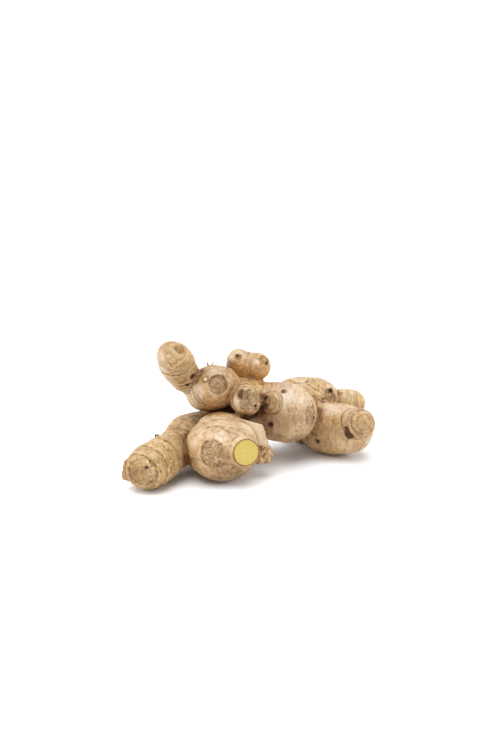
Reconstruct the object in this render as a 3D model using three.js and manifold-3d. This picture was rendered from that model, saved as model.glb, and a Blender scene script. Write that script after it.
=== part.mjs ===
// Ginger root: one branched rhizome, lying on its side. Millimetres, +Z up, seen from the front along +Y.
// Plump ringed lobes grow out of each other; round scars show where stalks and fingers came away,
// one short stub is cut off flat, and thin papery scales still stand on the skin.
import * as THREE from "three";
import { mergeVertices } from "three/addons/utils/BufferGeometryUtils.js";
import Module from "manifold-3d";

const wasm = await Module();
wasm.setup();

// Moves the laid-out root so that its origin is the middle of its footprint.
const FOOTPRINT_CENTRE = [0.9, 8.75];
const UP = new THREE.Vector3(0, 0, 1);

const RING_LIFT = 0.5; // how far a ring's edge stands proud
const RING_EDGE = 0.9; // length of the step down after a ring
const RING_WAVE = 1.3; // how far a ring wanders along its lobe
const SWELL = 0.04; // unevenness of a lobe, as a share of its radius

// Each lobe runs from a base pole to a tip pole. girth holds its radius in the base half and in the tip half,
// flat squeezes it from above, plump squares off its ends, and rings are places along it from 0 to 1.
const LOBES = [
  { name: "front", base: [-17, 8, 25.2], tip: [-21, -43, 20.2], girth: [24.6, 25.4], flat: 0.915, plump: 2.2,
    rings: [0.3, 0.44, 0.57, 0.7], sides: 20, rows: 9 },
  { name: "striped", base: [-43, 9, 18], tip: [-77, -52.5, 15], girth: [13.6, 17.2], flat: 0.98, plump: 2.8,
    rings: [0.3, 0.5, 0.62, 0.76, 0.89], sides: 18, rows: 10 },
  { name: "brown", base: [-58, -2, 19.4], tip: [-17, 36, 15], girth: [18, 17.6], flat: 1, plump: 2.3,
    rings: [0.3, 0.5, 0.68], sides: 16, rows: 7 },
  { name: "scarred", base: [-29, 31, 47], tip: [-22, -8, 65], girth: [18.5, 19.5], flat: 0.86, plump: 2.3,
    rings: [0.35, 0.55, 0.72], sides: 18, rows: 8 },
  { name: "knob", base: [-42.5, 15, 55], tip: [-56.5, -10, 93], girth: [11.5, 13.2], flat: 0.96, plump: 2.6,
    rings: [0.24, 0.33, 0.42, 0.62, 0.84], sides: 16, rows: 9 },
  { name: "top finger", base: [-17, 34, 65], tip: [13.5, 22, 67.5], girth: [10.3, 11.8], flat: 0.95, plump: 2.7,
    rings: [0.3, 0.5, 0.7], sides: 14, rows: 7 },
  { name: "top finger shoulder", base: [-5, 32, 59], tip: [-10, 22, 79.6], girth: [10.2, 9], flat: 1, plump: 2.4,
    rings: [0.7], sides: 14, rows: 7 },
  { name: "top finger root", base: [-4, 34, 72], tip: [3, 25, 38], girth: [8.5, 11], flat: 1, plump: 2.5,
    rings: [], sides: 10, rows: 5 },
  { name: "nub", base: [-7, 20, 48], tip: [-1.3, -13.5, 53.5], girth: [12, 10.8], flat: 1, plump: 3.6,
    rings: [0.5, 0.66, 0.82], sides: 16, rows: 6 },
  { name: "side nub", base: [21, 14, 43], tip: [12, -9, 52.5], girth: [7.5, 6.2], flat: 1.16, plump: 3.2,
    rings: [0.6, 0.8], sides: 14, rows: 6 },
  { name: "centre", base: [1, 24, 38.5], tip: [46.5, 9, 33], girth: [22, 21.8], flat: 1, plump: 2.3,
    rings: [0.24, 0.42, 0.66, 0.84], sides: 20, rows: 9 },
  { name: "neck", base: [-24, 16, 53], tip: [24, 18, 42], girth: [12.5, 14], flat: 1, plump: 3,
    rings: [0.4], sides: 12, rows: 5 },
  { name: "core", base: [-22, -6, 25], tip: [18, 40, 32], girth: [17, 17], flat: 1, plump: 2.6,
    rings: [0.5], sides: 12, rows: 6 },
  { name: "rear", base: [19, 42, 38.5], tip: [64.5, 54, 35], girth: [15.8, 14], flat: 1, plump: 2.5,
    rings: [0.34, 0.5, 0.66, 0.82], sides: 16, rows: 7 },
  { name: "rear foot", base: [28, 34, 22], tip: [46, 66, 8.2], girth: [13.2, 14.2], flat: 1, plump: 2.5,
    rings: [0.45, 0.7], sides: 12, rows: 6 },
  { name: "far finger", base: [55, 62, 27.5], tip: [86.5, 60, 27.5], girth: [10.6, 11.4], flat: 1, plump: 2.1,
    rings: [0.5, 0.68, 0.84], sides: 12, rows: 6 },
  { name: "right", base: [38, 41, 16.7], tip: [87, 15, 21.8], girth: [19, 18.4], flat: 1, plump: 2.4,
    rings: [0.24, 0.34, 0.46, 0.6, 0.76], sides: 18, rows: 9 },
  { name: "right stub", base: [69, 28, 22], tip: [82.3, 1.9, 32.2], girth: [11.5, 9.8], flat: 1, plump: 3.4,
    rings: [0.65, 0.85], sides: 16, rows: 6 },
];

// Round scars: where they lie, which way they face, their half width and half height, the radius of the skin
// they lie on, how deep they are sunk and how far their collar stands up.
const SCARS = [
  { at: [-22.2, -8, 65], facing: [0.12, -0.88, 0.46], half: [6.7, 7.3], bend: 18, sunk: 1.6, collar: 0.8 },
  { at: [-26.2, -42.2, 26.6], facing: [-0.26, -0.95, 0.17], half: [8.2, 9.6], bend: 24, sunk: 1.3, collar: 0.6 },
  { at: [0.2, -13.3, 54.4], facing: [0.22, -0.96, 0.18], half: [7.5, 8], bend: 20, sunk: 0.5, collar: 0.3 },
  { at: [13.3, -9.8, 52], facing: [-0.2, -0.93, 0.3], half: [4.3, 4.9], bend: 12, sunk: 0.5, collar: 0.3 },
  { at: [81, 2.4, 32.3], facing: [0.3, -0.9, 0.32], half: [7.8, 8], bend: 22, sunk: 0.5, collar: 0.5 },
  { at: [58.6, 40.6, 40.1], facing: [0.45, -0.78, 0.43], half: [5, 5.2], bend: 14, sunk: 0.9, collar: 0.4 },
  { at: [-49.5, -11, 91.6], facing: [0.22, -0.55, 0.8], half: [4.6, 4.2], bend: 13, sunk: 0.7, collar: 0.4 },
  { at: [-75, -53, 18], facing: [-0.4, -0.9, 0.12], half: [8.6, 7.4], bend: 17, sunk: 0.7, collar: 0.5 },
  { at: [9.5, 20, 73.5], facing: [0.35, -0.6, 0.72], half: [4.4, 4], bend: 11, sunk: 0.5, collar: 0.4 },
  { at: [86.2, 60, 27.6], facing: [0.98, -0.05, 0.15], half: [3.6, 3.6], bend: 11, sunk: 0.4, collar: 0.3 },
  { at: [-30, 31, 51], facing: [-0.2, 0.98, 0.05], half: [6.5, 6], bend: 17, sunk: 1, collar: 0.6 },
  { at: [45.5, 66, 14], facing: [0.35, 0.93, 0.05], half: [5, 4.8], bend: 13, sunk: 0.9, collar: 0.5 },
];

// Small buds and root stubs: where they lie, which way they face, radius at the skin, and how far they stand up.
const BUDS = [
  { at: [-31.5, -5, 68.4], facing: [-0.2, -0.71, 0.67], radius: 2, height: 1.1 },
  { at: [-14.9, -6.4, 62.7], facing: [0.6, -0.78, 0.18], radius: 2.2, height: 1 },
  { at: [29.3, -2.9, 45.7], facing: [0.11, -0.79, 0.6], radius: 2.6, height: 0.8 },
  { at: [61.3, 12, 32.5], facing: [-0.3, -0.8, 0.5], radius: 3, height: 0.9 },
  { at: [-53.2, -42.6, 19.4], facing: [0.84, -0.5, 0.2], radius: 2.8, height: 0.9 },
  { at: [-40.7, -31.3, 21.1], facing: [-0.81, -0.57, -0.12], radius: 2.2, height: 1 },
  { at: [-79.2, -50.4, 18.8], facing: [-0.58, -0.81, 0.07], radius: 2.2, height: 0.8 },
  { at: [-29.5, 12, 72.8], facing: [-0.1, 0, 1], radius: 1.3, height: 2 },
  { at: [14.5, -2.6, 33.6], facing: [-0.35, -0.94, 0], radius: 1.6, height: 0.7 },
  { at: [10, 42.8, 30], facing: [0.33, 0.94, 0], radius: 2.4, height: 1 },
  { at: [-50, 18.3, 66], facing: [-0.33, 0.94, -0.03], radius: 2.2, height: 1 },
  { at: [75, 40.8, 14], facing: [0.88, 0.4, -0.25], radius: 1.8, height: 1.6 },
];

// The flat cut end of the front lobe: its middle, the way it faces, its radius, and the skin's edge round it.
const CUT = { at: [-2.6, -41.6, 27.2], facing: [0.34, -0.92, 0.19], radius: 8.9, edge: 1.1, deep: 16 };

// Thin scales: four corners, each with a neighbour before and after it, how far the middle bulges, thickness.
const SCALES = [
  { corners: [[3, -13.5, 38.4], [9.3, -18.5, 39.2], [14, -18, 21], [3, -14, 18]], bulge: [0.5, -2, 0], thick: 1.1 },
  { corners: [[-80.5, -37, 24], [-86, -40, 20.5], [-88, -39, 7], [-81.5, -36, 3]], bulge: [-1, -2, 0], thick: 1 },
  { corners: [[-67, -7, 21], [-67.2, -9, 28.5], [-62.5, -9, 29], [-60, -6, 21]], bulge: [0, -1, 0.5], thick: 0.9 },
];

// The broken stump beside the cut end: its middle, its length, depth and height, and how jagged it is.
const STUMP = { at: [8, -17, 16.8], size: [15, 12, 13], jag: 0.8 };

// A slow unevenness from -1 to 1, the same for every lobe at one place, so that lobes meet without a jump.
function swell(p) {
  return 0.5 * Math.sin(0.31 * p.x + 1.7) * Math.cos(0.27 * p.y + 0.4)
    + 0.5 * Math.sin(0.35 * p.z + 0.11 * p.x + 2.2);
}

// How far a ring lifts the skin at a distance past it: a rise up to its edge, then a step down.
function ringLift(past) {
  return past < 0 ? RING_LIFT * Math.exp(past / 2.2) : -0.5 * RING_LIFT * Math.exp(-past / 1.6);
}

// Places of a lobe's rows from tip to base: evenly round its ends, with two rows at each ring's step.
function rowPlaces(lobe, length) {
  const half = (0.5 * RING_EDGE) / length;
  const steps = lobe.rings.flatMap((ring) => [ring - half, ring + half]);
  const even = [];
  for (let i = 1; i < lobe.rows; i++) {
    const place = 0.5 - 0.5 * Math.cos((Math.PI * i) / lobe.rows);
    if (steps.every((step) => Math.abs(step - place) * length > 2)) even.push(place);
  }
  return [0, ...even, ...steps, 1].sort((a, b) => b - a);
}

// Turns a closed geometry into a solid.
function solid(geometry) {
  for (const name of Object.keys(geometry.attributes)) if (name !== "position") geometry.deleteAttribute(name);
  const merged = mergeVertices(geometry, 1e-4);
  return new wasm.Manifold(new wasm.Mesh({
    numProp: 3,
    vertProperties: new Float32Array(merged.attributes.position.array),
    triVerts: new Uint32Array(merged.index.array),
  }));
}

// Calls `move` with every point of a geometry and its index, and keeps what it did to the point.
function eachPoint(geometry, move) {
  const position = geometry.attributes.position;
  const point = new THREE.Vector3();
  for (let i = 0; i < position.count; i++) {
    point.fromBufferAttribute(position, i);
    move(point, i);
    position.setXYZ(i, point.x, point.y, point.z);
  }
  return geometry;
}

// A lobe is a sphere whose rows are carried along its spine.
function lobeSolid(lobe) {
  const base = new THREE.Vector3(...lobe.base);
  const tip = new THREE.Vector3(...lobe.tip);
  const length = base.distanceTo(tip);
  const along = tip.clone().sub(base).normalize();
  const side = along.clone().cross(UP).normalize();
  const over = side.clone().cross(along);
  const places = rowPlaces(lobe, length);
  const sphere = new THREE.SphereGeometry(1, lobe.sides, places.length - 1);
  return solid(eachPoint(sphere, (point, i) => {
    const place = places[Math.floor(i / (lobe.sides + 1))];
    const turn = (2 * Math.PI * (i % (lobe.sides + 1))) / lobe.sides;
    const wave = RING_WAVE * (Math.sin(turn + length) + 0.35 * Math.sin(3 * turn + 2 * length));
    const t = place + (4 * place * (1 - place) * wave) / length;
    const round = Math.max(0, 1 - Math.abs(2 * t - 1) ** lobe.plump) ** (1 / lobe.plump);
    const radius = round * THREE.MathUtils.lerp(lobe.girth[0], lobe.girth[1], THREE.MathUtils.smoothstep(t, 0, 1));
    const rings = lobe.rings.reduce((sum, ring) => sum + ringLift((place - ring) * length), 0);
    const lift = Math.min(1, 2 * round) * rings;
    const out = side.clone().multiplyScalar(-Math.cos(turn)).addScaledVector(over, Math.sin(turn) * lobe.flat);
    point.copy(base).addScaledVector(along, t * length).addScaledVector(out, radius);
    point.addScaledVector(out, radius > 0 ? lift + SWELL * radius * swell(point) : 0);
  }));
}

// Stands a shape that was turned about its Y axis on the skin, with that axis looking out.
function stand(geometry, at, facing) {
  const out = new THREE.Vector3(...facing).normalize();
  const across = UP.clone().cross(out).normalize();
  const frame = new THREE.Matrix4().makeBasis(across, out, across.clone().cross(out));
  return geometry.applyMatrix4(frame.setPosition(...at));
}

// Turns an outline of [radius, height] points into a solid that stands on the skin.
function turned(outline, sides, at, facing, wide = 1, tall = 1) {
  const points = outline.map(([radius, height]) => new THREE.Vector2(radius, height));
  return solid(stand(new THREE.LatheGeometry(points, sides).scale(wide, 1, tall), at, facing));
}

// The collar of a scar is added to the body, and its stepped dish is cut out of it.
function addScar(body, { at, facing, half: [wide, tall], bend, sunk, collar }) {
  const sides = wide > 6 ? 14 : 10;
  const drop = (r) => Math.sqrt(bend * bend - wide * wide * r * r) - bend;
  const rim = 1 + 1.5 / wide;
  const skirt = 1 + 3.4 / wide;
  const ring = [[0, drop(skirt) - 4], [skirt, drop(skirt) - 1.3], [rim, drop(rim) + 0.7 * collar],
    [1, drop(1) + collar], [0, drop(1) + collar]];
  const dish = [[0, -0.8 * sunk - 0.2], [0.4, drop(0.4) - 0.5 * sunk], [0.5, drop(0.5) - sunk],
    [0.86, drop(0.86) - sunk - 0.15], [1, drop(1) + collar + 0.05], [1.2, 5], [0, 5]];
  return body.add(turned(ring, sides, at, facing, wide, tall)).subtract(turned(dish, sides, at, facing, wide, tall));
}

// A bud is a low cone with a dimple at its point.
function budSolid({ at, facing, radius, height }) {
  const outline = [[0, -2], [radius + 0.4, -0.8], [radius, 0.4 * height], [0.5 * radius, height],
    [0, 0.6 * height]];
  return turned(outline, 7, at, facing);
}

// The cut end is a short stub with a rounded skin edge and a flat face.
function cutSolid({ at, facing, radius, edge, deep }) {
  const outline = [[0, -deep], [radius + edge + 2.5, -deep], [radius + edge + 0.5, -5], [radius + edge, -1.6],
    [radius + 0.7 * edge, -0.3], [radius, 0], [0, 0]];
  return turned(outline, 20, at, facing);
}

// A scale is a thin block laid between its corners, with a ragged outer edge.
function scaleSolid({ corners, bulge, thick }) {
  const [a, b, c, d] = corners.map((corner) => new THREE.Vector3(...corner));
  const facing = b.clone().sub(a).cross(d.clone().sub(a)).normalize();
  const block = new THREE.BoxGeometry(1, 1, 1, 3, 5, 1);
  return solid(eachPoint(block, (point) => {
    const across = point.x + 0.5;
    const down = point.y + 0.5;
    const middle = 4 * across * (1 - 0.5 * across) * down * (1 - down);
    const ragged = across * (0.06 * Math.sin(11 * down) + 0.05 * Math.sin(23 * down + 1));
    const height = point.z * thick;
    const near = a.clone().lerp(b, across + ragged);
    const far = d.clone().lerp(c, across + ragged);
    point.copy(near.lerp(far, down)).addScaledVector(facing, height);
    point.addScaledVector(new THREE.Vector3(...bulge), middle);
  }));
}

// The stump is a block with rounded corners and a jagged surface.
function stumpSolid({ at, size, jag }) {
  const block = new THREE.BoxGeometry(2, 2, 2, 3, 3, 3);
  return solid(eachPoint(block, (point) => {
    const squeeze = 1 - 0.18 * (point.lengthSq() - 1);
    const { x, y, z } = point;
    point.multiplyScalar(squeeze);
    point.set((point.x * size[0]) / 2, (point.y * size[1]) / 2, (point.z * size[2]) / 2);
    point.x += jag * Math.sin(3 * y + 4 * z + 1);
    point.y += jag * Math.sin(3 * x + 2 * z);
    point.z += jag * Math.sin(4 * x + 3 * y + 2);
    point.add(new THREE.Vector3(...at));
  }));
}

let body = LOBES.map(lobeSolid).reduce((sum, lobe) => sum.add(lobe));
body = SCARS.reduce(addScar, body);
body = BUDS.map(budSolid).reduce((sum, bud) => sum.add(bud), body);
body = SCALES.map(scaleSolid).reduce((sum, scale) => sum.add(scale), body);
body = body.add(cutSolid(CUT)).add(stumpSolid(STUMP));
body = body.subtract(solid(new THREE.BoxGeometry(400, 400, 40).translate(0, 0, -20)));

const mesh = body.getMesh();
const geometry = new THREE.BufferGeometry();
geometry.setAttribute("position", new THREE.BufferAttribute(new Float32Array(mesh.vertProperties), 3));
geometry.setIndex(new THREE.BufferAttribute(mesh.triVerts, 1));
geometry.translate(-FOOTPRINT_CENTRE[0], -FOOTPRINT_CENTRE[1], 0);
geometry.computeVertexNormals();

const skin = new THREE.MeshStandardMaterial({ color: 0xc9a679, roughness: 0.6, metalness: 0 });
const rhizome = new THREE.Mesh(geometry, skin);
rhizome.name = "rhizome";

const root = new THREE.Group();
root.add(rhizome);

export default root;
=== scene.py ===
"""Ginger root: the dressed model of the branched rhizome that the frame holds.

The skin is grown from the same lobes as the solid, remeshed into one closed hide and given its rings, scars,
buds and wrinkles. The cut face, the papery scales and the root stubs are pieces of their own on it.
Tables are in millimetres in the layout of the root, and every mesh is in metres in the frame.
"""

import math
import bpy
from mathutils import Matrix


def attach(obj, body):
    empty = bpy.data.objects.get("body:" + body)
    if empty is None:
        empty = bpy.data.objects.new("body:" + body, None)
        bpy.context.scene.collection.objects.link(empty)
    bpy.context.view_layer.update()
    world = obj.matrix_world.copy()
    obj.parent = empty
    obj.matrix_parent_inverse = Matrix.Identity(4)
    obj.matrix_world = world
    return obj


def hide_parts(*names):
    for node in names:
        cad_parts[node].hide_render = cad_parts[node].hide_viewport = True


bl_info = {
    "name": "Ginger root",
    "version": (1, 0, 0),
    "blender": (4, 5, 0),
    "location": "View3D > Sidebar > Ginger",
    "description": "Dresses a branched ginger root with ringed skin, scars, scales and a cut face",
    "category": "Object",
}

from contextlib import contextmanager

import bpy
import numpy as np
from mathutils import Vector

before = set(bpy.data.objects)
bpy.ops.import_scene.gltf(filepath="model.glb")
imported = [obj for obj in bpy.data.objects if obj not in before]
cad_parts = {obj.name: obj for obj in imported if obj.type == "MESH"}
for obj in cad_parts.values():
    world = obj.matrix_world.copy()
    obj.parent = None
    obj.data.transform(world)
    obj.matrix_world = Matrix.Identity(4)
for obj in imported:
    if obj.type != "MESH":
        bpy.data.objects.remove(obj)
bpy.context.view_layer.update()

MM = 0.001
NODE = "rhizome"
UP = np.array([0.0, 0.0, 1.0])
# The layout's point that the frame has as its origin.
FOOTPRINT = np.array([0.9, 8.75, 0.0])
# Width of the step down past a ring's edge, and how far a ring wanders along its lobe.
RING_EDGE = 0.9
RING_WAVE = 1.3
# Shares of a lobe's length between which its faint rings lie.
RINGED = (0.12, 0.93)
# What a place holds that is far from every ring, crack, bud or scar, and from the cut face.
NO_RING = 9.0
NO_CRACK = 4.0
NO_BUD = 4.0
NO_SCAR = 3.0
NO_CUT = 20.0
# How far a crease between lobes reaches, how far melted lobes blend, and how far lobes share their colours.
CREASE_REACH = 1.3
MELT_REACH = 4.0
TONE_REACH = 1.6
# What is left of the crease between melted lobes.
MELTED_CREASE = 0.15
# How many of its radii a round mark fades over.
SPOT_REACH = 1.6
# How far the pattern is moved on from one lobe to the next, from scar to scar and from scale to scale.
LOBE_SHIFT = 41.0
SCAR_SHIFT = 9.0
SHEET_SHIFT = 30.0
# How far out from the skin room is looked for, and how much each distance counts.
PROBES = ((2.5, 0.3), (6.0, 0.35), (13.0, 0.35))
# Shares of red, green and blue: a factor on the whole skin, the painted shade where it faces down, the painted
# bluish sheen where it faces up, and the painted shade between lobes and deep between them.
BALANCE = np.array([1.05, 1.09, 1.05])
PAINTED_SHADE_UNDER = np.array([0.14, 0.22, 0.36])
PAINTED_SHEEN_ABOVE = np.array([-0.08, 0.0, 0.16])
PAINTED_SHADE_HIDDEN = np.array([0.2, 0.34, 0.52])
PAINTED_SHADE_DEEPEST = np.array([0.45, 0.56, 0.64])

# name: base pole, tip pole, radius in the base half and in the tip half, height against width, squareness of
# the ends, places of the strong rings, colour of the skin as red, green and blue out of 255.
LOBES = {
    "front": ([-17, 8, 25.2], [-21, -43, 20.2], (24.6, 25.4), 0.915, 2.2, (0.3, 0.44, 0.57, 0.7), (214, 178, 140)),
    "striped": ([-43, 9, 18], [-77, -52.5, 15], (13.6, 17.2), 0.98, 2.8,
                (0.3, 0.54, 0.76, 0.89), (204, 167, 112)),
    "brown": ([-58, -2, 19.4], [-17, 36, 15], (18, 17.6), 1, 2.3, (0.3, 0.5, 0.68), (200, 156, 98)),
    "scarred": ([-29, 31, 47], [-21.6, -8, 64.6], (18.5, 18.9), 0.86, 2.3, (0.35, 0.55, 0.72), (204, 166, 116)),
    "knob": ([-42.5, 15, 55], [-56.5, -10, 93], (11.5, 13.2), 0.96, 2.6, (0.24, 0.33, 0.42, 0.62, 0.84),
             (206, 173, 130)),
    "top_finger": ([-17, 34, 65], [13.5, 22, 68.5], (10.3, 11.8), 0.95, 2.7, (0.3, 0.5, 0.7), (203, 158, 112)),
    "top_shoulder": ([-5, 32, 59], [-10, 22, 79.6], (10.2, 9), 1, 2.4, (0.7,), (206, 164, 118)),
    "top_root": ([-4, 34, 72], [3, 25, 38], (8.5, 11), 1, 2.5, (), (180, 138, 96)),
    "nub": ([-7, 20, 48], [-1.3, -13.5, 53.5], (12, 10.8), 1, 3.6, (0.5, 0.66, 0.82), (210, 174, 128)),
    "side_nub": ([21, 14, 43], [12, -9, 52.5], (7.5, 6.2), 1.16, 3.2, (0.6, 0.8), (192, 150, 96)),
    "centre": ([1, 24, 38.5], [46.5, 9, 33], (22, 21.8), 1, 2.3, (0.24, 0.42, 0.66, 0.84), (206, 173, 142)),
    "neck": ([-24, 16, 53], [24, 18, 42], (12.5, 14), 1, 3, (0.4,), (176, 136, 96)),
    # The core shows only deep between other lobes; its dark colour is painted shade.
    "core": ([-22, -6, 25], [18, 40, 32], (17, 17), 1, 2.6, (0.5,), (150, 112, 76)),
    "rear": ([19, 42, 38.5], [64.5, 54, 35], (15.8, 14), 1, 2.5, (0.34, 0.5, 0.66, 0.82), (198, 162, 118)),
    "rear_foot": ([28, 34, 22], [46, 66, 8.2], (13.2, 14.2), 1, 2.5, (0.45, 0.7), (160, 120, 80)),
    "far_finger": ([55, 62, 27.5], [86.5, 60, 27.5], (10.6, 11.4), 1, 2.1, (0.5, 0.68, 0.84), (216, 184, 136)),
    "right": ([38, 41, 16.7], [87, 15, 21.8], (19, 18.4), 1, 2.4, (0.3, 0.46, 0.6, 0.76), (206, 168, 126)),
    "right_stub": ([69, 28, 22], [82.1, 2.1, 33.0], (12, 10.8), 1, 3.4, (0.65, 0.85), (214, 176, 132)),
    "heel": ([-33.2, 14, 51], [-33.2, 1, 53.3], (12.4, 12.4), 1, 2.4, (), (204, 166, 116)),
    # The saddle fills the gap deep between brown, scarred and core; its dark colour is painted shade.
    "saddle": ([-35, 19, 35.5], [-11, 25, 36], (6.5, 6.5), 1, 2.6, (), (140, 98, 58)),
}
# For each lobe: spacing of the faint rings in mm, height of the strong ones as a share of the ring lift, and
# how dark the lines under them are.
RING_HABIT = {
    "striped": (5.0, 1.4, 0.85), "right": (5.5, 0.7, 0.3), "front": (7.5, 0.6, 0.32), "centre": (9.0, 0.3, 0.12),
    "scarred": (6.0, 0.8, 0.7), "knob": (4.6, 0.8, 0.75), "brown": (5.0, 0.9, 0.9), "rear": (7.0, 0.4, 0.25),
    "far_finger": (3.6, 0.8, 0.5), "nub": (3.0, 1.1, 0.9), "side_nub": (2.4, 1.0, 1.0),
    "right_stub": (3.0, 1.0, 0.8), "top_finger": (5.0, 0.5, 0.35), "top_shoulder": (4.0, 0.5, 0.35),
}
USUAL_HABIT = (6.0, 0.8, 0.6)
# Pairs of lobes that run into one another with no crease.
MELTED = (("top_finger", "top_shoulder"), ("top_finger", "top_root"), ("top_shoulder", "top_root"),
          ("scarred", "neck"), ("centre", "neck"), ("centre", "core"), ("front", "core"),
          ("rear", "rear_foot"), ("nub", "neck"),
          ("saddle", "brown"), ("saddle", "scarred"), ("saddle", "neck"), ("saddle", "core"),
          ("heel", "scarred"), ("heel", "knob"), ("heel", "neck"))

# Round scars: middle, outward direction, half width and half height, how deep, height of the collar, colour, and
# how far the marks in them are circles and not fibres.
SCARS = [
    ([-22.2, -8, 65], [0.12, -0.88, 0.46], (6.5, 7.3), 1.5, 0.8, (184, 148, 110), 0.25),
    ([43.4, 1.2, 37.8], [0.75, -0.65, 0.12], (5.4, 7.4), 0.3, 0.3, (190, 156, 118), 0.0),
    ([-26.2, -42.2, 26.6], [-0.26, -0.95, 0.17], (8.2, 9.6), 1.2, 0.55, (202, 166, 120), 0.1),
    ([0.2, -13.3, 54.4], [0.22, -0.96, 0.18], (7.5, 8.0), 0.45, 0.4, (184, 152, 116), 0.4),
    ([13.3, -9.8, 52], [-0.2, -0.93, 0.3], (4.8, 5.6), 0.6, 0.3, (182, 144, 94), 1.0),
    ([80.8, 2.6, 33.1], [0.3, -0.9, 0.32], (8.7, 9.0), 0.6, 0.7, (222, 186, 136), 0.9),
    ([58.6, 40.6, 40.1], [0.45, -0.78, 0.43], (5.4, 5.6), 0.9, 0.4, (178, 142, 102), 0.2),
    ([-48.5, -11.3, 91.4], [0.22, -0.55, 0.8], (3.6, 3.2), 0.5, 0.5, (186, 148, 100), 1.0),
    ([-73.6, -53.3, 17.8], [-0.4, -0.9, 0.12], (10.4, 8.8), 0.9, 0.6, (240, 208, 158), 0.7),
    ([9.5, 20, 73.5], [0.35, -0.6, 0.72], (4.4, 4), 0.4, 0.3, (196, 156, 104), 0.8),
    ([86.2, 60, 27.6], [0.98, -0.05, 0.15], (3.8, 3.8), 0.3, 0.3, (214, 184, 136), 0.9),
    ([-8.2, 18.6, 77.0], [0.1, -0.72, 0.68], (2.6, 2.3), 0.3, 0.35, (184, 142, 94), 1.0),
    ([-30, 31, 51], [-0.2, 0.98, 0.05], (6.5, 6), 1.0, 0.6, (178, 142, 102), 0.5),
    ([45.5, 66, 14], [0.35, 0.93, 0.05], (5, 4.8), 0.9, 0.5, (178, 142, 102), 0.7),
]

# Cracks in the skin: lobe, then places along it with turns round it.
CRACKS = [
    ("rear", (0.2, 1.6), (0.27, 2.05), (0.42, 2.1), (0.54, 2.4), (0.64, 2.62), (0.65, 2.95)),
    ("rear", (0.52, 1.8), (0.44, 2.08)),
    ("rear", (0.64, 2.1), (0.6, 2.5)),
    ("centre", (0.91, 1.6), (0.94, 1.75), (0.96, 2.1)),
    ("centre", (0.86, 3.05), (0.91, 2.9), (0.95, 3.0)),
    ("centre", (0.98, 2.2), (1.0, 2.6)),
    ("centre", (0.9, 0.9), (0.93, 0.3)),
    ("front", (0.72, 2.0), (0.73, 1.6), (0.8, 1.3), (0.79, 0.95)),
    ("front", (0.64, 2.1), (0.58, 1.75), (0.56, 1.4)),
    ("front", (0.9, 1.2), (0.93, 1.5)),
    ("front", (0.86, -0.3), (0.82, -0.5)),
    ("scarred", (0.8, -2.75), (0.78, -2.2), (0.78, -1.7), (0.74, -1.1)),
    ("scarred", (0.62, -2.9), (0.58, -2.4), (0.6, -1.9)),
    ("knob", (0.64, -1.95), (0.63, -1.35), (0.62, -0.9), (0.6, -0.4)),
    ("knob", (0.93, -1.3), (0.86, -1.25), (0.8, -1.1)),
    ("right", (0.74, 3.6), (0.72, 3.9), (0.76, 4.1)),
    ("striped", (0.96, 1.5), (0.9, 1.25), (0.92, 0.8), (0.87, 0.35), (0.85, -0.05)),
    ("brown", (0.4, 1.2), (0.45, 0.7), (0.6, 0.6)),
    ("front", (0.5, -2.4), (0.55, -2.0), (0.5, -1.5)),
    ("far_finger", (0.6, 0.2), (0.66, -0.4), (0.62, -1.0)),
]

# Buds: middle, radius, height, and how pale their tips are.
BUDS = [
    ([-31.5, -5.9, 68.4], 1.8, 1.2, 1.0), ([-14.9, -6.4, 62.7], 2.1, 1.0, 0.0), ([29.3, -2.9, 45.7], 2.4, 0.7, 0.0),
    ([61.3, 12, 32.5], 2.8, 0.9, 0.0), ([-53.2, -42.6, 19.4], 2.6, 0.9, 0.0), ([-40.7, -31.3, 21.1], 2.0, 1.0, 0.0),
    ([-79.2, -50.4, 18.8], 2.4, 0.8, 0.0), ([6.1, 21.0, 74.7], 2.0, 0.9, 0.0), ([9.2, 16.9, 70.5], 1.8, 0.8, 0.0),
    ([10, 42.8, 30], 2.4, 1.0, 0.0), ([-50, 18.3, 66], 2.2, 1.0, 0.0), ([-40, 35.9, 20], 2.4, 1.0, 0.0),
    ([-5, 39.9, 68], 2.0, 0.8, 0.0), ([75, 40.8, 14], 1.8, 1.6, 0.0),
]

# Small holes: middle, radius, depth.
PITS = [
    ([-70.2, -53.2, 20.7], 1.9, 1.6), ([4.2, -12.6, 50.5], 1.5, 1.2), ([14.5, -3.1, 33.6], 1.9, 1.1),
    ([12.6, 20.6, 71.4], 1.8, 1.3), ([-40.1, -4.1, 69.9], 2.2, 1.0), ([13.3, -9.6, 54.4], 1.3, 0.9),
    ([-44, -3.5, 63.1], 1.9, 0.8), ([48.9, 15.1, 14.6], 1.5, 0.8), ([61.3, 11.2, 32.5], 1.0, 0.9),
    ([59.4, 42.6, 43.6], 1.7, 0.8), ([-67.6, -51, 24.8], 1.0, 0.6),
]
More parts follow.
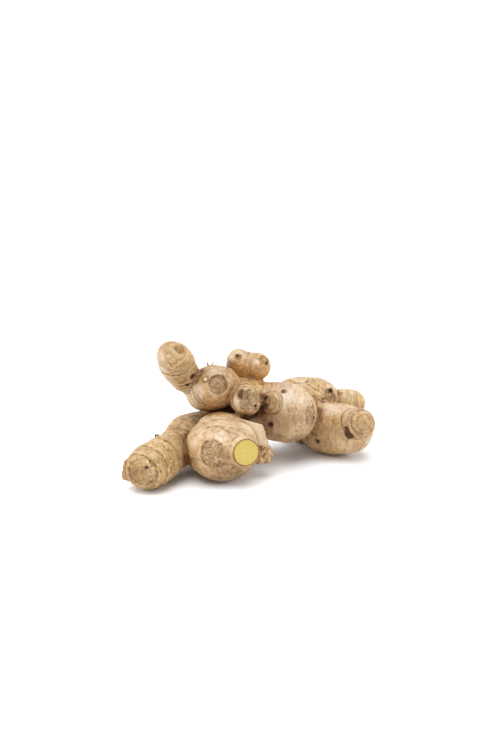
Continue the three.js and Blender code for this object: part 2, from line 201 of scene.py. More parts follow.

# Dark patches of old skin, and painted shade under the centre lobe: middle, radius, strength.
BRUISES_AND_SHADE = [
    ([44.7, 7.2, 43.5], 1.8, 0.9), ([45.8, 5.7, 35.3], 1.7, 0.9), ([44.6, 3.4, 38.8], 1.2, 0.6),
    ([-18.9, -44.2, 22.6], 1.6, 0.7), ([-6.4, -11.4, 58.0], 2.6, 0.9),
    ([-5.6, -11.2, 60.8], 3.6, 0.9), ([-2.2, -13.0, 57.5], 2.4, 0.6), ([10.1, -7.6, 55.4], 3.2, 1.0),
    ([9.6, -9.3, 49.8], 3.4, 1.1), ([23.7, 6.9, 54.8], 2.6, 1.0), ([21.3, 1.6, 53.7], 2.2, 0.5),
    ([70.9, 4.9, 23.4], 3.3, 2.2), ([69.6, 5.6, 27.6], 2.0, 1.6), ([59.6, 11.6, 31.4], 1.3, 0.9),
    ([71.1, 4.7, 28.6], 2.6, 1.0), ([14.5, -3.1, 33.6], 2.6, 1.1),
    ([48.9, 15.1, 14.6], 2.6, 1.0), ([7.8, 13.8, 58.1], 3.0, 0.7), ([52.5, 35.8, 37.7], 3.4, 0.8),
    ([59.4, 43.2, 43.4], 2.8, 1.0), ([-40.1, -4.1, 69.9], 3.0, 0.9), ([-44, -3.5, 63.1], 2.6, 0.9),
    ([-18.4, -43.6, 20.5], 3.0, 0.55), ([-21.5, -43.5, 17.5], 2.6, 0.45), ([-9.2, 19.2, 77.3], 2.0, 0.7),
    ([2.6, 14.8, 67.2], 2.2, 0.6),
    ([42.4, 41.7, 50.8], 1.6, 0.7), ([-12.3, -41.7, 16.0], 1.3, 0.7), ([-58.5, -29.1, 31], 2.0, 0.6),
    ([-67.3, -53.4, 23.6], 2.2, 0.8), ([-60, 14, 26], 4.0, 0.6), ([20, 44, 36], 3.5, 0.7),
    ([66, 47, 24], 4.0, 0.8), ([-22, 38, 26], 3.5, 0.7),
    # The first two here, under the centre lobe, are painted shade.
    ([36, 6, 17.8], 4.5, 1.1), ([43, 14, 20], 4.0, 1.0), ([30, 32, 54], 2.4, 0.6), ([-12, 2, 44], 4.0, 0.8),
]

# Golden tints where young tissue shows through: middle, radius, strength.
BLUSHES = [
    ([-44.1, -10, 89.2], 3.0, 1.0), ([-56.2, -7.1, 94.1], 2.6, 0.7), ([6.1, 21.3, 74.7], 3.0, 0.9),
    ([81.8, 56.1, 34.7], 3.6, 0.8), ([61.2, 11.4, 32.7], 3.4, 1.1), ([29.3, -2.9, 45.7], 2.6, 0.7),
    ([89.0, 6.0, 27.0], 4.5, 0.9), ([73.0, 6.0, 21.0], 3.0, 0.9), ([-8.0, 20.0, 80.0], 3.5, 0.5),
    ([-40.7, -31.3, 21.1], 2.4, 0.8), ([52, 70, 22], 4.0, 0.8), ([-41, -19, 33], 6.0, 0.5),
    ([10.5, 18.2, 62], 9.0, 0.95), ([-8, 18.5, 66], 8.0, 0.95), ([-22, -8.2, 48], 9.0, 0.6),
]

# Pale patches, most of them painted highlights and painted light on the lit sides of lobes, some pale clean skin:
# middle, radius, strength.
SHEENS_AND_PALE_SKIN = [
    ([-64, -4, 80], 5.0, 0.8), ([-57, -6, 69], 4.0, 0.6),
    ([-7.8, 21, 78.5], 5.5, 0.9), ([5.7, 17.5, 73.9], 4.5, 0.8), ([-58.6, -8.3, 91], 5.0, 0.7),
    ([-62, -3.1, 72.5], 5.0, 0.9), ([-78, -51, 16], 6.0, 0.8),
    ([-61.3, -11, 86], 4.5, 1.1), ([-60.2, -9, 76], 4.5, 1.0), ([-54, -9, 70], 3.0, 0.5), ([-13, 22.3, 67.3], 5.0, 1.0),
    ([-80.7, -50, 15.7], 4.0, 0.7), ([-74.6, -52.2, 9.3], 4.5, 0.9), ([-9.8, -11.2, 47.3], 3.5, 0.9),
    ([7, -10.1, 51.4], 2.5, 0.8), ([68.2, 53.9, 35.4], 3.0, 0.8),
    ([-37, -7, 59], 6.0, 1.0), ([-13, 20.7, 75], 4.0, 1.0), ([58.7, 44.2, 44.9], 4.0, 1.0),
    ([85, 13.3, 15.8], 5.0, 0.9), ([-9.7, -13.5, 54], 3.5, 1.0), ([-52, -14, 92], 5.0, 0.7),
    ([61.4, 13.5, 36], 3.2, 0.9), ([-39, 4, 53], 9.0, 0.9), ([-10.5, -8, 50], 5.0, 1.0),
    ([61, 44, 45], 5.0, 0.8), ([70, 8, 9], 8.0, 0.5),
    ([-2, -22, 37], 7.0, 0.9), ([-1, -24, 28], 5.0, 0.6), ([-58, -9, 84], 5.0, 0.8),
    ([-19.8, -38.7, 36.8], 4.4, 1.3), ([-10, -38, 38], 5.0, 0.6), ([-38, -33, 30], 5.0, 0.6),
    ([26, 2, 52], 9.0, 0.9), ([36, 3, 49], 7.0, 0.6), ([58, 22, 36], 8.0, 0.9), ([72, 18, 36], 7.0, 0.7),
    ([-10.8, -9.6, 54.1], 4.0, 0.8), ([-24, 0, 70], 7.0, 0.6), ([-56, -12, 88], 5.0, 0.5), ([0, 22, 72], 4.0, 0.6),
    ([-66, -46, 28], 4.0, 0.6), ([38, 40, 50], 7.0, 0.6), ([20, 50, 52], 8.0, 0.6), ([-20, 48, 52], 8.0, 0.5),
    ([87, 9, 18], 6.0, 0.7), ([76, 57, 37], 4.0, 0.7),
]

# Places between the lobes where the painted crevice shade is mostly lifted: middle, radius.
SHADE_LIFTS = [
    ([-7, 18.8, 64.7], 9), ([10, 18, 62], 9), ([53, 15, 26], 8), ([15, -4, 44], 4), ([-50, -28, 25], 9),
    ([66, 50, 30], 6), ([16, -9, 52], 5), ([-8.5, -12, 47], 6), ([-15, -3.5, 49.5], 5), ([7, -10, 51.4], 4),
    ([-27, -5.5, 48.3], 7), ([-20, -5, 48.5], 6), ([-34, -5, 52], 5), ([-43, 8, 34.5], 9), ([-38, 14, 35], 5),
    ([47.5, 15, 21], 6), ([-50, -21, 28.7], 6), ([61, 44, 42], 5),
]

# Broad patches, each over the ones before it: some stains of the skin's own, most painted shade low down, on front
# faces and in crevices, and painted light on lit sides and floor-lit undersides: middle, radius, colour, strength.
STAINS_AND_PAINTED_LIGHT = [
    ([-16, -42, 8], 17, (150, 112, 84), 0.85), ([-13, -43, 21], 9, (158, 114, 80), 0.8),
    ([22, -7, 33], 16, (160, 124, 90), 0.7), ([58, 11, 22], 13, (172, 132, 88), 0.7),
    ([-20, 4, 71], 13, (180, 148, 112), 0.7), ([43, 2, 38], 7, (172, 144, 106), 0.6),
    ([70, 8, 8], 14, (232, 196, 150), 0.7), ([-42, 2, 50], 10, (226, 190, 142), 0.6),
    ([2, 12, 60], 7, (220, 160, 96), 0.8),
    ([52, 16, 30], 5, (190, 140, 92), 0.4), ([-68, -30, 30], 9, (176, 132, 78), 0.5),
    ([-22, -4, 45], 14, (170, 124, 74), 0.8), ([-3, 16, 63], 11, (194, 144, 92), 0.7),
    ([-36, -38, 22], 10, (218, 176, 122), 0.5), ([46, 12, 20], 8, (164, 118, 76), 0.5),
    ([10, 46, 40], 16, (176, 138, 96), 0.5),
    ([-40, 30, 30], 16, (160, 120, 76), 0.5), ([60, 50, 12], 16, (170, 128, 84), 0.6),
    ([-77, -50, 9], 9, (240, 216, 170), 0.7), ([-86, -42, 13], 6, (240, 216, 170), 0.7),
    ([-48, -14.7, 83.5], 6, (176, 134, 90), 0.4), ([-42.8, -9.9, 79], 7, (160, 116, 68), 0.6),
    ([-45.8, -8.4, 69.9], 6, (156, 112, 66), 0.6), ([-41.9, -3.4, 63.8], 5, (140, 96, 52), 0.6),
    ([1.4, 17.4, 73.3], 5, (184, 138, 92), 0.4), ([5.7, 14.9, 69.7], 6, (182, 128, 76), 0.5),
    ([0, 15.3, 66.6], 6, (190, 136, 82), 0.4), ([-19.5, -8.9, 55.3], 5, (140, 96, 52), 0.6),
    ([-26, -5.5, 48], 7, (206, 148, 84), 0.7), ([-8, -12, 46.5], 4.5, (220, 180, 130), 0.6),
    ([-13, -38.5, 8.5], 8, (118, 84, 60), 0.7), ([-5, -31, 7], 9, (118, 84, 60), 0.7),
    ([24.6, -3.5, 46.1], 6, (184, 146, 106), 0.4), ([33.4, 1.2, 20.3], 7, (110, 74, 44), 0.7),
    ([38.2, -1.5, 27.4], 6, (170, 134, 98), 0.4), ([80.6, 5, 20.5], 5, (240, 206, 170), 0.6),
    ([75, 7.2, 14.3], 6, (236, 200, 156), 0.4), ([-43, 7, 34], 8, (216, 174, 120), 0.6),
    ([-38.5, 13.5, 35], 4.5, (168, 116, 58), 0.8),
    ([-33, 21, 34], 5, (112, 70, 30), 0.6),
    ([66, 8, 11], 8, (232, 196, 152), 0.4), ([-10, -38.7, 8.5], 7, (84, 58, 40), 0.75),
    ([34, 1, 19.5], 5, (70, 44, 26), 0.8), ([-28, -13, 45.4], 4.2, (70, 44, 24), 0.95),
    ([-31, 19.4, 33.5], 3.5, (90, 56, 26), 0.5),
]

CUT_AT = [-2.6, -41.6, 27.2]
CUT_FACING = [0.34, -0.92, 0.19]
# Length of the stub behind the cut face, and how much wider its foot is.
CUT_DEEP = 16.0
CUT_FLARE = 2.5
# Distances from the cut's middle between which the smooth skin round it ends, and the middle, width and height
# of the lip on it.
CUT_SMOOTH = (10.2, 11.5)
LIP_AT, LIP_WIDTH, LIP_HEIGHT = 10.1, 0.8, 0.7
# Distances from the cut's middle of the pale ring on the lip, of the dark line round it and of the dark inner edge.
PALE_RING, DARK_LINE, INNER_EDGE = 10.4, 11.7, (9.75, 9.3)
# Heights on the cut's axis of the flesh's top and of its underside in the stub.
FLESH_TOP, FLESH_BOTTOM = 0.2, -1.2

# Papery scales: four corners in order round the sheet, bulge of its middle, thickness, how brown it is.
SCALES = [
    ([[-7, -15.2, 42.2], [8.4, -18.5, 38.9], [14, -18, 20.5], [1, -15, 16]], [0.8, -2.0, 0], 0.8, 0.0),
    ([[-80.5, -37, 24], [-86, -40, 20.5], [-88, -39, 7], [-81.5, -36, 3]], [-1, -2, 0], 0.8, 0.8),
    ([[-66.8, -8, 21], [-66.8, -9.4, 28.3], [-63.2, -9.3, 28], [-60.5, -6.5, 20.5]], [0, -1, 0.5], 0.7, 1.0),
]
STUMP_AT = [8, -17, 16.8]
STUMP_SIZE = [15, 12, 13]

# Root stubs: foot, the way they point, length, radius.
STUBS = [
    ([-29.5, 12, 72.0], [-0.3, -0.2, 1], 3.8, 0.9), ([-27.4, 11.5, 72.2], [0.5, -0.1, 1], 3.6, 0.75),
    ([-38.6, 3, 70.0], [-0.4, -0.2, 0.9], 2.2, 0.7), ([75, 40.6, 14], [0.8, 0.5, -0.2], 2.6, 0.9),
    ([-34, 36, 8], [-0.2, 0.9, -0.3], 2.6, 0.8), ([30, 62, 15], [-0.5, 0.8, 0.1], 2.4, 0.8),
]
# How far a root stub's foot stands in the skin.
STUB_FOOT = 1.2

# The studio, in metres. Lamps: place, the point that they look at, power in watts, width, height.
LAMPS = {
    "window": ((-0.25, -0.45, 0.7), (0, 0, 0.04), 0.7, 0.25, 0.2),
    "left_wall": ((-1.3, 0.05, 0.62), (-0.03, 0, 0.04), 10.0, 1.2, 0.6),
    "right_wall": ((1.3, 0.05, 0.62), (0.03, 0, 0.04), 9.0, 1.2, 0.6),
    "back_wall": ((0, 1.3, 0.62), (0, 0, 0.04), 4.0, 1.6, 0.6),
}
SUN_AT, SUN_FACING = (-0.4, -0.5, 1.2), (0.06, 0.02, -1.0)
SUN_POWER, SUN_ANGLE = 2.6, 60
WORLD_POWER = 0.55
FLOOR_SIZE, FLOOR_COLOUR = 40.0, (0.9, 0.915, 0.94, 1.0)
CAMERA_AT = (-0.0009, -0.97883, 0.3845)
CAMERA_TILT, CAMERA_LENS, CAMERA_SENSOR = 72, 70, 36

# Outputs of an Attribute node.
COLOUR, VECTOR, NUMBER = 0, 1, 2


def linear(red, green, blue):
    """A screen colour out of 255 as the linear colour that shaders use."""
    def channel(value):
        value /= 255.0
        return value / 12.92 if value <= 0.04045 else ((value + 0.055) / 1.055) ** 2.4

    return (channel(red), channel(green), channel(blue), 1.0)


def unit(vector):
    vector = np.array(vector, float)
    return vector / np.linalg.norm(vector)


def to_frame(points):
    """Layout millimetres as metres in the frame."""
    return (np.asarray(points, float) - FOOTPRINT) * MM


def blend_step(low, high, value):
    """A smooth rise from 0 at low to 1 at high."""
    t = np.clip((value - low) / (high - low), 0, 1)
    return t * t * (3 - 2 * t)


def grain(points, size, seed):
    """Smooth noise from -1 to 1 at points in mm, with its bumps about one size apart."""
    spot = np.asarray(points, float) / size + 17.13 * seed
    cell = np.floor(spot).astype(np.int64)
    part = spot - cell
    part = part * part * (3 - 2 * part)
    total = np.zeros(len(spot))
    for corner in np.ndindex(2, 2, 2):
        x, y, z = (cell + corner).T
        key = (x * 73856093) ^ (y * 19349663) ^ (z * 83492791)
        key = ((key ^ (key >> 13)) * 1274126177) & 0xFFFFFF
        height = (key >> 8) / 32767.5 - 1
        weight = np.prod(np.where(corner, part, 1 - part), axis=1)
        total += weight * height
    return total


def jitter(points, size, seeds):
    """Smooth noise from -1 to 1 in each direction."""
    return np.stack([grain(points, size, seed) for seed in seeds], 1)


def hump(value, middle, width):
    """A smooth hump of height 1 at middle."""
    return np.exp(-(((value - middle) / width) ** 2))


def radii_away(points, at, radius):
    """Distance of each point from the middle of a mark, in its radii."""
    return np.linalg.norm(points - np.array(at), axis=1) / radius


def swell(points):
    """The slow unevenness of the lobes, from -1 to 1."""
    x, y, z = np.asarray(points).T
    return 0.5 * np.sin(0.31 * x + 1.7) * np.cos(0.27 * y + 0.4) + 0.5 * np.sin(0.35 * z + 0.11 * x + 2.2)


class Lobe:
    """One plump lobe: a sphere drawn out along its spine."""

    def __init__(self, name, base, tip, girth, flat, plump, rings, colour):
        self.name = name
        self.base = np.array(base, float)
        span = np.array(tip, float) - self.base
        self.length = np.linalg.norm(span)
        self.along = span / self.length
        self.side = unit(np.cross(self.along, UP))
        self.over = np.cross(self.side, self.along)
        self.girth = girth
        self.flat = flat
        self.plump = plump
        self.colour = np.array(linear(*colour)[:3])
        spacing, self.lift, self.dark = RING_HABIT.get(name, USUAL_HABIT)
        self.rings = np.array(rings, float)
        self.faint = self._between(spacing / self.length)

    def _between(self, spacing):
        """Places of the faint rings, which fill the gaps between the strong ones."""
        stops = [RINGED[0], *self.rings, RINGED[1]]
        faint = []
        for low, high in zip(stops[:-1], stops[1:]):
            count = int((high - low) / spacing)
            faint += [low + (high - low) * (k + 1) / (count + 1) for k in range(count)]
        return np.array(faint)

    def full_girth(self, t):
        s = blend_step(0, 1, t)
        return self.girth[0] * (1 - s) + self.girth[1] * s

    def envelope(self, t):
        return np.maximum(0, 1 - np.abs(2 * t - 1) ** self.plump) ** (1 / self.plump)

    def wave(self, turn):
        return RING_WAVE * (np.sin(turn + self.length) + 0.35 * np.sin(3 * turn + 2 * self.length))

    def surface(self, place, turn, uneven):
        """Points of the lobe's skin, without its rings."""
        t = place + 4 * place * (1 - place) * self.wave(turn) / self.length
        radius = self.envelope(t) * self.full_girth(t)
        out = -np.cos(turn)[:, None] * self.side + (np.sin(turn) * self.flat)[:, None] * self.over
        points = self.base + (t * self.length)[:, None] * self.along + radius[:, None] * out
        return points + (uneven * radius * swell(points))[:, None] * out

    def measure(self, points):
        """For each point its place along the lobe, its turn round it and its height over the smooth skin."""
        arm = points - self.base
        t = arm @ self.along / self.length
        across = -arm @ self.side
        upward = arm @ self.over / self.flat
        turn = np.arctan2(upward, across)
        girth = self.full_girth(np.clip(t, 0, 1))
        reach = (np.abs(2 * t - 1) ** self.plump + (np.hypot(across, upward) / girth) ** self.plump)
        height = (reach ** (1 / self.plump) - 1) * girth
        place = t - 4 * t * (1 - t) * self.wave(turn) / self.length
        return place, turn, height


GROWTH = [Lobe(name, *facts) for name, facts in LOBES.items()]


def length_setting(name, description, default, **limits):
    """A length that a user can change, in metres."""
    return bpy.props.FloatProperty(name=name, description=description, default=default, unit="LENGTH", **limits)


def rounds_setting(name, description, default):
    """A number of smoothing rounds that a user can change."""
    return bpy.props.IntProperty(name=name, description=description, default=default, min=0)


def colour_setting(name, description, *default):
    """A colour that a user can change. Its default is red, green and blue out of 255."""
    return bpy.props.FloatVectorProperty(
        name=name, description=description, subtype="COLOR", size=4, default=linear(*default))


class GingerShape(bpy.types.PropertyGroup):
    """Sizes of the skin."""

    grid: length_setting("Grid", "Size of the skin's mesh cells", 0.00086, min=0.0005)
    ring_lift: length_setting("Ring lift", "How far a ring's edge stands up", 0.0005)
    unevenness: bpy.props.FloatProperty(
        name="Unevenness", description="Slow swelling of a lobe, as a share of its radius", default=0.04,
        subtype="FACTOR")
    wrinkle: length_setting("Wrinkle", "Height of the wrinkles round a lobe", 0.00014)
    fillet: rounds_setting("Fillet", "Rounds of smoothing where lobes meet", 10)
    melt: rounds_setting("Melt", "Rounds of smoothing where lobes run into one another", 62)
    cut_radius: length_setting("Cut face", "Radius of the cut face", 0.0090)
    cut_edge: length_setting("Cut edge", "Width of the skin's edge round the cut face", 0.0011)


class GingerColours(bpy.types.PropertyGroup):
    """Colours of the skin and flesh."""

    flesh: colour_setting("Flesh", "Colour of the cut flesh", 197, 174, 87)
    flesh_pale: colour_setting("Pale flesh", "Colour of the paler flecks in the flesh", 232, 220, 156)
    flesh_ring: colour_setting("Flesh edge", "Colour of the flesh just under the skin", 194, 164, 74)
    ring: colour_setting("Ring", "Colour of the line under a ring's edge", 118, 76, 36)
    bark: colour_setting("Bark", "Colour of old rough skin", 152, 110, 62)
    bruise: colour_setting("Bruise", "Colour of dark dried patches", 58, 30, 22)
    blush: colour_setting("Blush", "Golden tint of young tissue", 206, 150, 74)
    # The crack colour also paints shade into the creases between lobes, and rings round buds.
    crack: colour_setting("Crack", "Colour in creases and round buds", 88, 54, 24)
    # Colour of the painted sheen that stands in for highlights; it also lies on pale clean skin and on the pale tips of
    # buds.
    sheen: colour_setting("Sheen", "Colour of thin clean skin", 236, 220, 200)
    scale: colour_setting("Scale", "Colour of the dry scales", 234, 214, 180)
    golden: colour_setting("Golden", "Warm shade of the skin", 204, 152, 88)
    rosy: colour_setting("Rosy", "Cool shade of the skin", 200, 166, 142)
    paper: colour_setting("Paper", "Colour of pale dry skin", 220, 190, 142)


def shape():
    return bpy.context.scene.ginger_shape


def colours():
    return bpy.context.scene.ginger_colours


class Signal:
    """A node's output that takes part in sums. Each sum adds a Math node."""

    def __init__(self, recipe, socket):
        self.recipe = recipe
        self.socket = socket

    def _math(self, operation, first, second):
        return self.recipe.node("ShaderNodeMath", {"operation": operation}, {0: first, 1: second})

    def __add__(self, other):
        return self._math("ADD", self, other)

    def __radd__(self, other):
        return self._math("ADD", other, self)

    def __sub__(self, other):
        return self._math("SUBTRACT", self, other)

    def __rsub__(self, other):
        return self._math("SUBTRACT", other, self)

    def __mul__(self, other):
        return self._math("MULTIPLY", self, other)

    def __rmul__(self, other):
        return self._math("MULTIPLY", other, self)


class Recipe:
    """One material and the nodes that make it."""

    def __init__(self, name):
        self.material = bpy.data.materials.new(name)
        self.material.use_nodes = True
        self.tree = self.material.node_tree
        self.tree.nodes.clear()

    def node(self, kind, settings=None, sockets=None, output=0):
        """Adds a node, sets its settings, fills its sockets with values or links, and returns one output."""
        made = self.tree.nodes.new(kind)
        for name, value in (settings or {}).items():
            setattr(made, name, value)
        for name, value in (sockets or {}).items():
            if isinstance(value, Signal):
                self.tree.links.new(value.socket, made.inputs[name])
            else:
                made.inputs[name].default_value = value
        return Signal(self, made.outputs[output]) if len(made.outputs) else None

    def mix(self, factor, first, second, how="MIX"):
        """Blends two colours."""
        return self.node("ShaderNodeMix", {"data_type": "RGBA", "blend_type": how}, {0: factor, 6: first, 7: second},
                         output=2)

    def rise(self, value, low, high):
        """A smooth rise from 0 at low to 1 at high. With low above high it falls."""
        return self.node("ShaderNodeMapRange", {"interpolation_type": "SMOOTHSTEP"},
                         {0: value, 1: low, 2: high, 3: 0.0, 4: 1.0})

    def layers(self, colour, *coats):
        """Lays coats over a colour. A coat is a value, where it is 0 and 1, its strength and its colour."""
        for value, low, high, strength, coat in coats:
            colour = self.mix(self.rise(value, low, high) * strength, colour, coat)
        return colour

    def held(self, name, output=NUMBER):
        """A value that the mesh holds."""
        return self.node("ShaderNodeAttribute", {"attribute_name": name}, output=output)

    def place_mm(self):
        """The place on the object in mm."""
        return self.stretched(self.node("ShaderNodeTexCoord", output=3), (1 / MM,) * 3)

    def stretched(self, vector, scale):
        """A vector multiplied by three numbers."""
        return self.node("ShaderNodeVectorMath", {"operation": "MULTIPLY"}, {0: vector, 1: scale})

    def noise(self, vector, scale, detail, rough, bend=0.0):
        return self.node("ShaderNodeTexNoise", {},
                         {"Vector": vector, "Scale": scale, "Detail": detail, "Roughness": rough, "Distortion": bend})

    def peak(self, value, middle, width):
        """A bump of height 1 at middle, down to 0 at a width either side."""
        away = self.node("ShaderNodeMath", {"operation": "ABSOLUTE"}, {0: value - middle})
        return self.rise(away, width, 0.0)

    def finish(self, colour, roughness, height, relief, **constants):
        """The surface shader, with a bump whose height is in mm and is multiplied by the relief."""
        bump = self.node("ShaderNodeBump", {}, {"Strength": 1.0, "Distance": MM * relief, "Height": height})
        sockets = {"Base Color": colour, "Roughness": roughness, "Normal": bump}
        sockets.update(constants)
        shader = self.node("ShaderNodeBsdfPrincipled", {}, sockets)
        self.node("ShaderNodeOutputMaterial", {}, {"Surface": shader})
        return self.material


def skin_material():
    """Papery skin: tan with rings, fibres, specks, scars, cracks, dark patches and golden tints, with painted sheen and
    painted shade.
    """
    r = Recipe("ginger skin")
    tint = colours()
    grown = r.held("growth", VECTOR)
    object_mm = r.place_mm()
    ring = r.held("ring")
    faint = r.held("faint_ring")
    dark = r.held("ring_dark")
    scar = r.held("scar")
    bark = r.held("bark")

    blotch = r.noise(object_mm, 0.085, 3, 0.55)
    patch = r.noise(object_mm, 0.3, 4, 0.62, 0.3)
    warmth = r.noise(r.stretched(object_mm, (0.16, 0.13, 0.14)), 1.0, 3, 0.6, 0.4)
    flake = r.noise(r.stretched(grown, (0.3, 0.16, 0.16)), 1.0, 3, 0.6, 0.5)
    fine = r.noise(object_mm, 1.1, 4, 0.65)
    bands = r.noise(r.stretched(grown, (0.8, 0.09, 0.09)), 1.0, 4, 0.62, 0.5)
    threads = r.noise(r.stretched(grown, (0.16, 0.9, 0.9)), 1.0, 3, 0.6, 0.3)
    broken = r.noise(r.stretched(grown, (0.25, 0.3, 0.3)), 1.0, 3, 0.6)

    # Painted sheen: pale patches standing in for highlights and lit sides, with some pale clean skin.
    shiny = r.held("sheen") + (patch - 0.5) * 0.9
    colour = r.layers(
        r.held("tone", COLOUR),
        (blotch, 0.42, 0.66, 0.45, tint.bark), (blotch, 0.52, 0.32, 0.35, tint.paper),
        (flake, 0.52, 0.57, 0.28, tint.paper), (patch, 0.52, 0.66, 0.5, tint.bark),
        (warmth, 0.52, 0.68, 0.35, tint.golden), (warmth, 0.48, 0.34, 0.25, tint.rosy),
        (bands, 0.52, 0.7, 0.5, tint.bark), (bands, 0.48, 0.32, 0.35, tint.paper),
        (threads, 0.56, 0.7, 0.3, tint.bark), (shiny, 0.2, 0.75, 0.5, tint.sheen))
    torn = r.noise(r.stretched(object_mm, (0.9, 0.9, 0.25)), 1.0, 4, 0.65, 0.6)
    torn_tone = r.mix(r.rise(torn, 0.6, 0.38), tint.bark, tint.paper)
    colour = r.mix(bark, colour, r.mix(r.rise(torn, 0.54, 0.62) * 0.8, torn_tone, tint.ring))

    wrinkle = r.peak(bands, 0.5, 0.035) * r.rise(patch, 0.42, 0.58)
    colour = r.mix(wrinkle * 0.3, colour, tint.ring)
    specks = r.node("ShaderNodeTexVoronoi", {}, {"Vector": object_mm, "Scale": 0.42, "Randomness": 1.0})
    speck = r.rise(specks, 0.2, 0.1) * r.rise(patch, 0.46, 0.58)
    colour = r.mix(speck * 0.75, colour, tint.ring)
    # Painted shade: crevices between lobes darkened in patches towards the ring colour.
    colour = r.mix(r.held("hidden") * r.rise(patch, 0.4, 0.6) * 0.6, colour, tint.ring)

    mottle = r.noise(object_mm, 0.5, 3, 0.65, 0.8)
    colour = r.mix(r.rise(mottle, 0.53, 0.64) * dark * 0.45, colour, tint.ring)
    colour = r.mix(r.rise(mottle, 0.46, 0.36) * dark * 0.35, colour, tint.scale)

    ragged = (broken - 0.5) * 2.2 + (fine - 0.5) * 0.8
    past = ring + ragged
    outside = r.rise(scar, 0.95, 1.1)
    line = r.peak(past, 0.25, 0.5) * r.rise(broken, 0.36, 0.55) * outside * dark
    rim = r.rise(past, -2.2, -0.2) * r.rise(past, 0.15, 0.0) * outside * dark
    faint_line = r.peak(faint + ragged * 1.3, 0.1, 0.34) * r.rise(patch, 0.42, 0.58) * outside * dark
    # Painted shade: just past each ring's edge the skin is darkened towards the bark colour, fading towards the tip.
    ring_shade = r.rise(past, 0.0, 0.4) * r.rise(past, 3.4, 0.6) * outside * dark
    colour = r.mix(rim * 0.55, colour, tint.paper)
    colour = r.mix(ring_shade * 0.45, colour, tint.bark)
    colour = r.mix(line * 0.7, colour, tint.ring)
    colour = r.mix(faint_line * 0.45, colour, tint.ring)

    crack = r.held("crack") + (fine - 0.5) * 0.7
    crack_line = r.rise(crack, 0.8, 0.2) * r.rise(broken, 0.38, 0.55)
    colour = r.mix(r.peak(crack, 1.5, 0.9) * 0.35, colour, tint.paper)
    colour = r.mix(crack_line * 0.55, colour, tint.ring)

    scar_edge = scar + (patch - 0.5) * 0.16 + (fine - 0.5) * 0.22
    inside = r.rise(scar_edge, 1.05, 0.9)
    spot, rounded = r.held("scar_spot", VECTOR), r.held("scar_round")
    fibres = r.noise(r.stretched(spot, (0.3, 0.46, 1.0)), 1.0, 4, 0.68, 1.8)
    knots = r.noise(r.stretched(spot, (0.34, 0.5, 1.0)), 1.0, 3, 0.6, 2.2)
    strands = r.peak(knots, 0.5, 0.045) * r.rise(fibres, 0.38, 0.52)
    strokes = r.rise(fibres, 0.57, 0.64)
    circles = r.node("ShaderNodeMath", {"operation": "SINE"}, {0: scar * 13.0 + (fibres - 0.5) * 7.0})
    circle_line = r.rise(circles, 0.35, 0.95) * rounded
    scar_tone = r.layers(
        r.held("scar_tone", COLOUR), (fibres, 0.5, 0.36, 0.4, tint.paper),
        (patch, 0.52, 0.66, 0.3, tint.bark), (patch, 0.48, 0.36, 0.35, tint.scale))
    scar_tone = r.mix(strokes * 0.6, scar_tone, tint.ring)
    scar_tone = r.mix(strands * (1.0 - 0.6 * rounded) * 0.55, scar_tone, tint.ring)
    scar_tone = r.mix(circle_line * 0.42, scar_tone, tint.bark)
    colour = r.mix(inside, colour, scar_tone)
    scar_rim = r.peak(scar_edge, 0.98, 0.13) * r.rise(blotch + (patch - 0.5) * 0.9, 0.4, 0.56)
    colour = r.mix(scar_rim * 0.7, colour, tint.ring)

    blush = r.rise(r.held("blush") + (fine - 0.5) * 0.7 + (patch - 0.5) * 0.6, 0.15, 0.95)
    colour = r.mix(blush * 0.65, colour, tint.blush)
    cut = r.held("cut") + (fine - 0.5) * 0.5
    colour = r.mix(r.peak(cut, PALE_RING, 1.0) * 0.4, colour, tint.paper)
    colour = r.mix(r.peak(cut, DARK_LINE, 0.8) * r.rise(patch, 0.44, 0.56) * 0.7, colour, tint.ring)
    colour = r.mix(r.rise(cut, *INNER_EDGE) * 0.85, colour, tint.ring)
    # Dark patches of old skin, with painted shade under the centre lobe.
    bruise = r.rise(r.held("bruise") + (patch - 0.5) * 1.2 + (fine - 0.5), 0.26, 0.72)
    colour = r.mix(bruise * 0.95, colour, r.mix(fine * 0.6, tint.bruise, tint.ring))
    bud, tip = r.held("bud") + (fine - 0.5) * 0.3, r.held("bud_tip")
    colour = r.mix(r.rise(bud, 1.0, 0.6) * r.rise(tip, 0.05, 0.3) * 0.85, colour, tint.sheen)
    bud_ring = r.peak(bud, 1.35, 0.5) * r.rise(broken + tip * 0.4, 0.36, 0.6)
    colour = r.mix(bud_ring * (0.35 + 0.6 * tip), colour, tint.crack)
    colour = r.mix(r.rise(bud, 0.9, 0.3) * r.rise(tip, 0.05, 0.0) * 0.3, colour, tint.bark)
    pit = r.rise(r.held("pit") + (fine - 0.5) * 0.3, 0.3, 0.6)
    colour = r.mix(pit * 0.92, colour, tint.bruise)
    # Painted shade: a dark line in the creases where lobes meet.
    crease = r.rise(r.held("crease") + (fine - 0.5) * 0.4, 0.3, 1.0)
    colour = r.mix(crease * 0.45, colour, tint.crack)

    # Painted crevice shade: the colour multiplied by the shade held on the mesh.
    colour = r.mix(1.0, colour, r.held("shade", COLOUR), "MULTIPLY")

    rough = 0.42 + (fine - 0.5) * 0.4 + bark * 0.25 + inside * 0.22 + bruise * 0.25 + (patch - 0.5) * 0.3
    height = bands * 0.6 + fine * 0.32 + threads * 0.14 + patch + flake * 0.3
    height = height - line * 0.3 + rim * 0.15 - faint_line * 0.15 - wrinkle * 0.1 - crack_line * 0.3
    height = height + inside * (fibres * 0.9 - strokes * 0.25 - strands * 0.3 - circle_line * 0.12)
    height = height - speck * 0.15 - bruise * 0.15 - bud_ring * 0.15 + bark * torn * 1.2
    return r.finish(colour, rough, height, 1.25, **{"Specular IOR Level": 0.32})


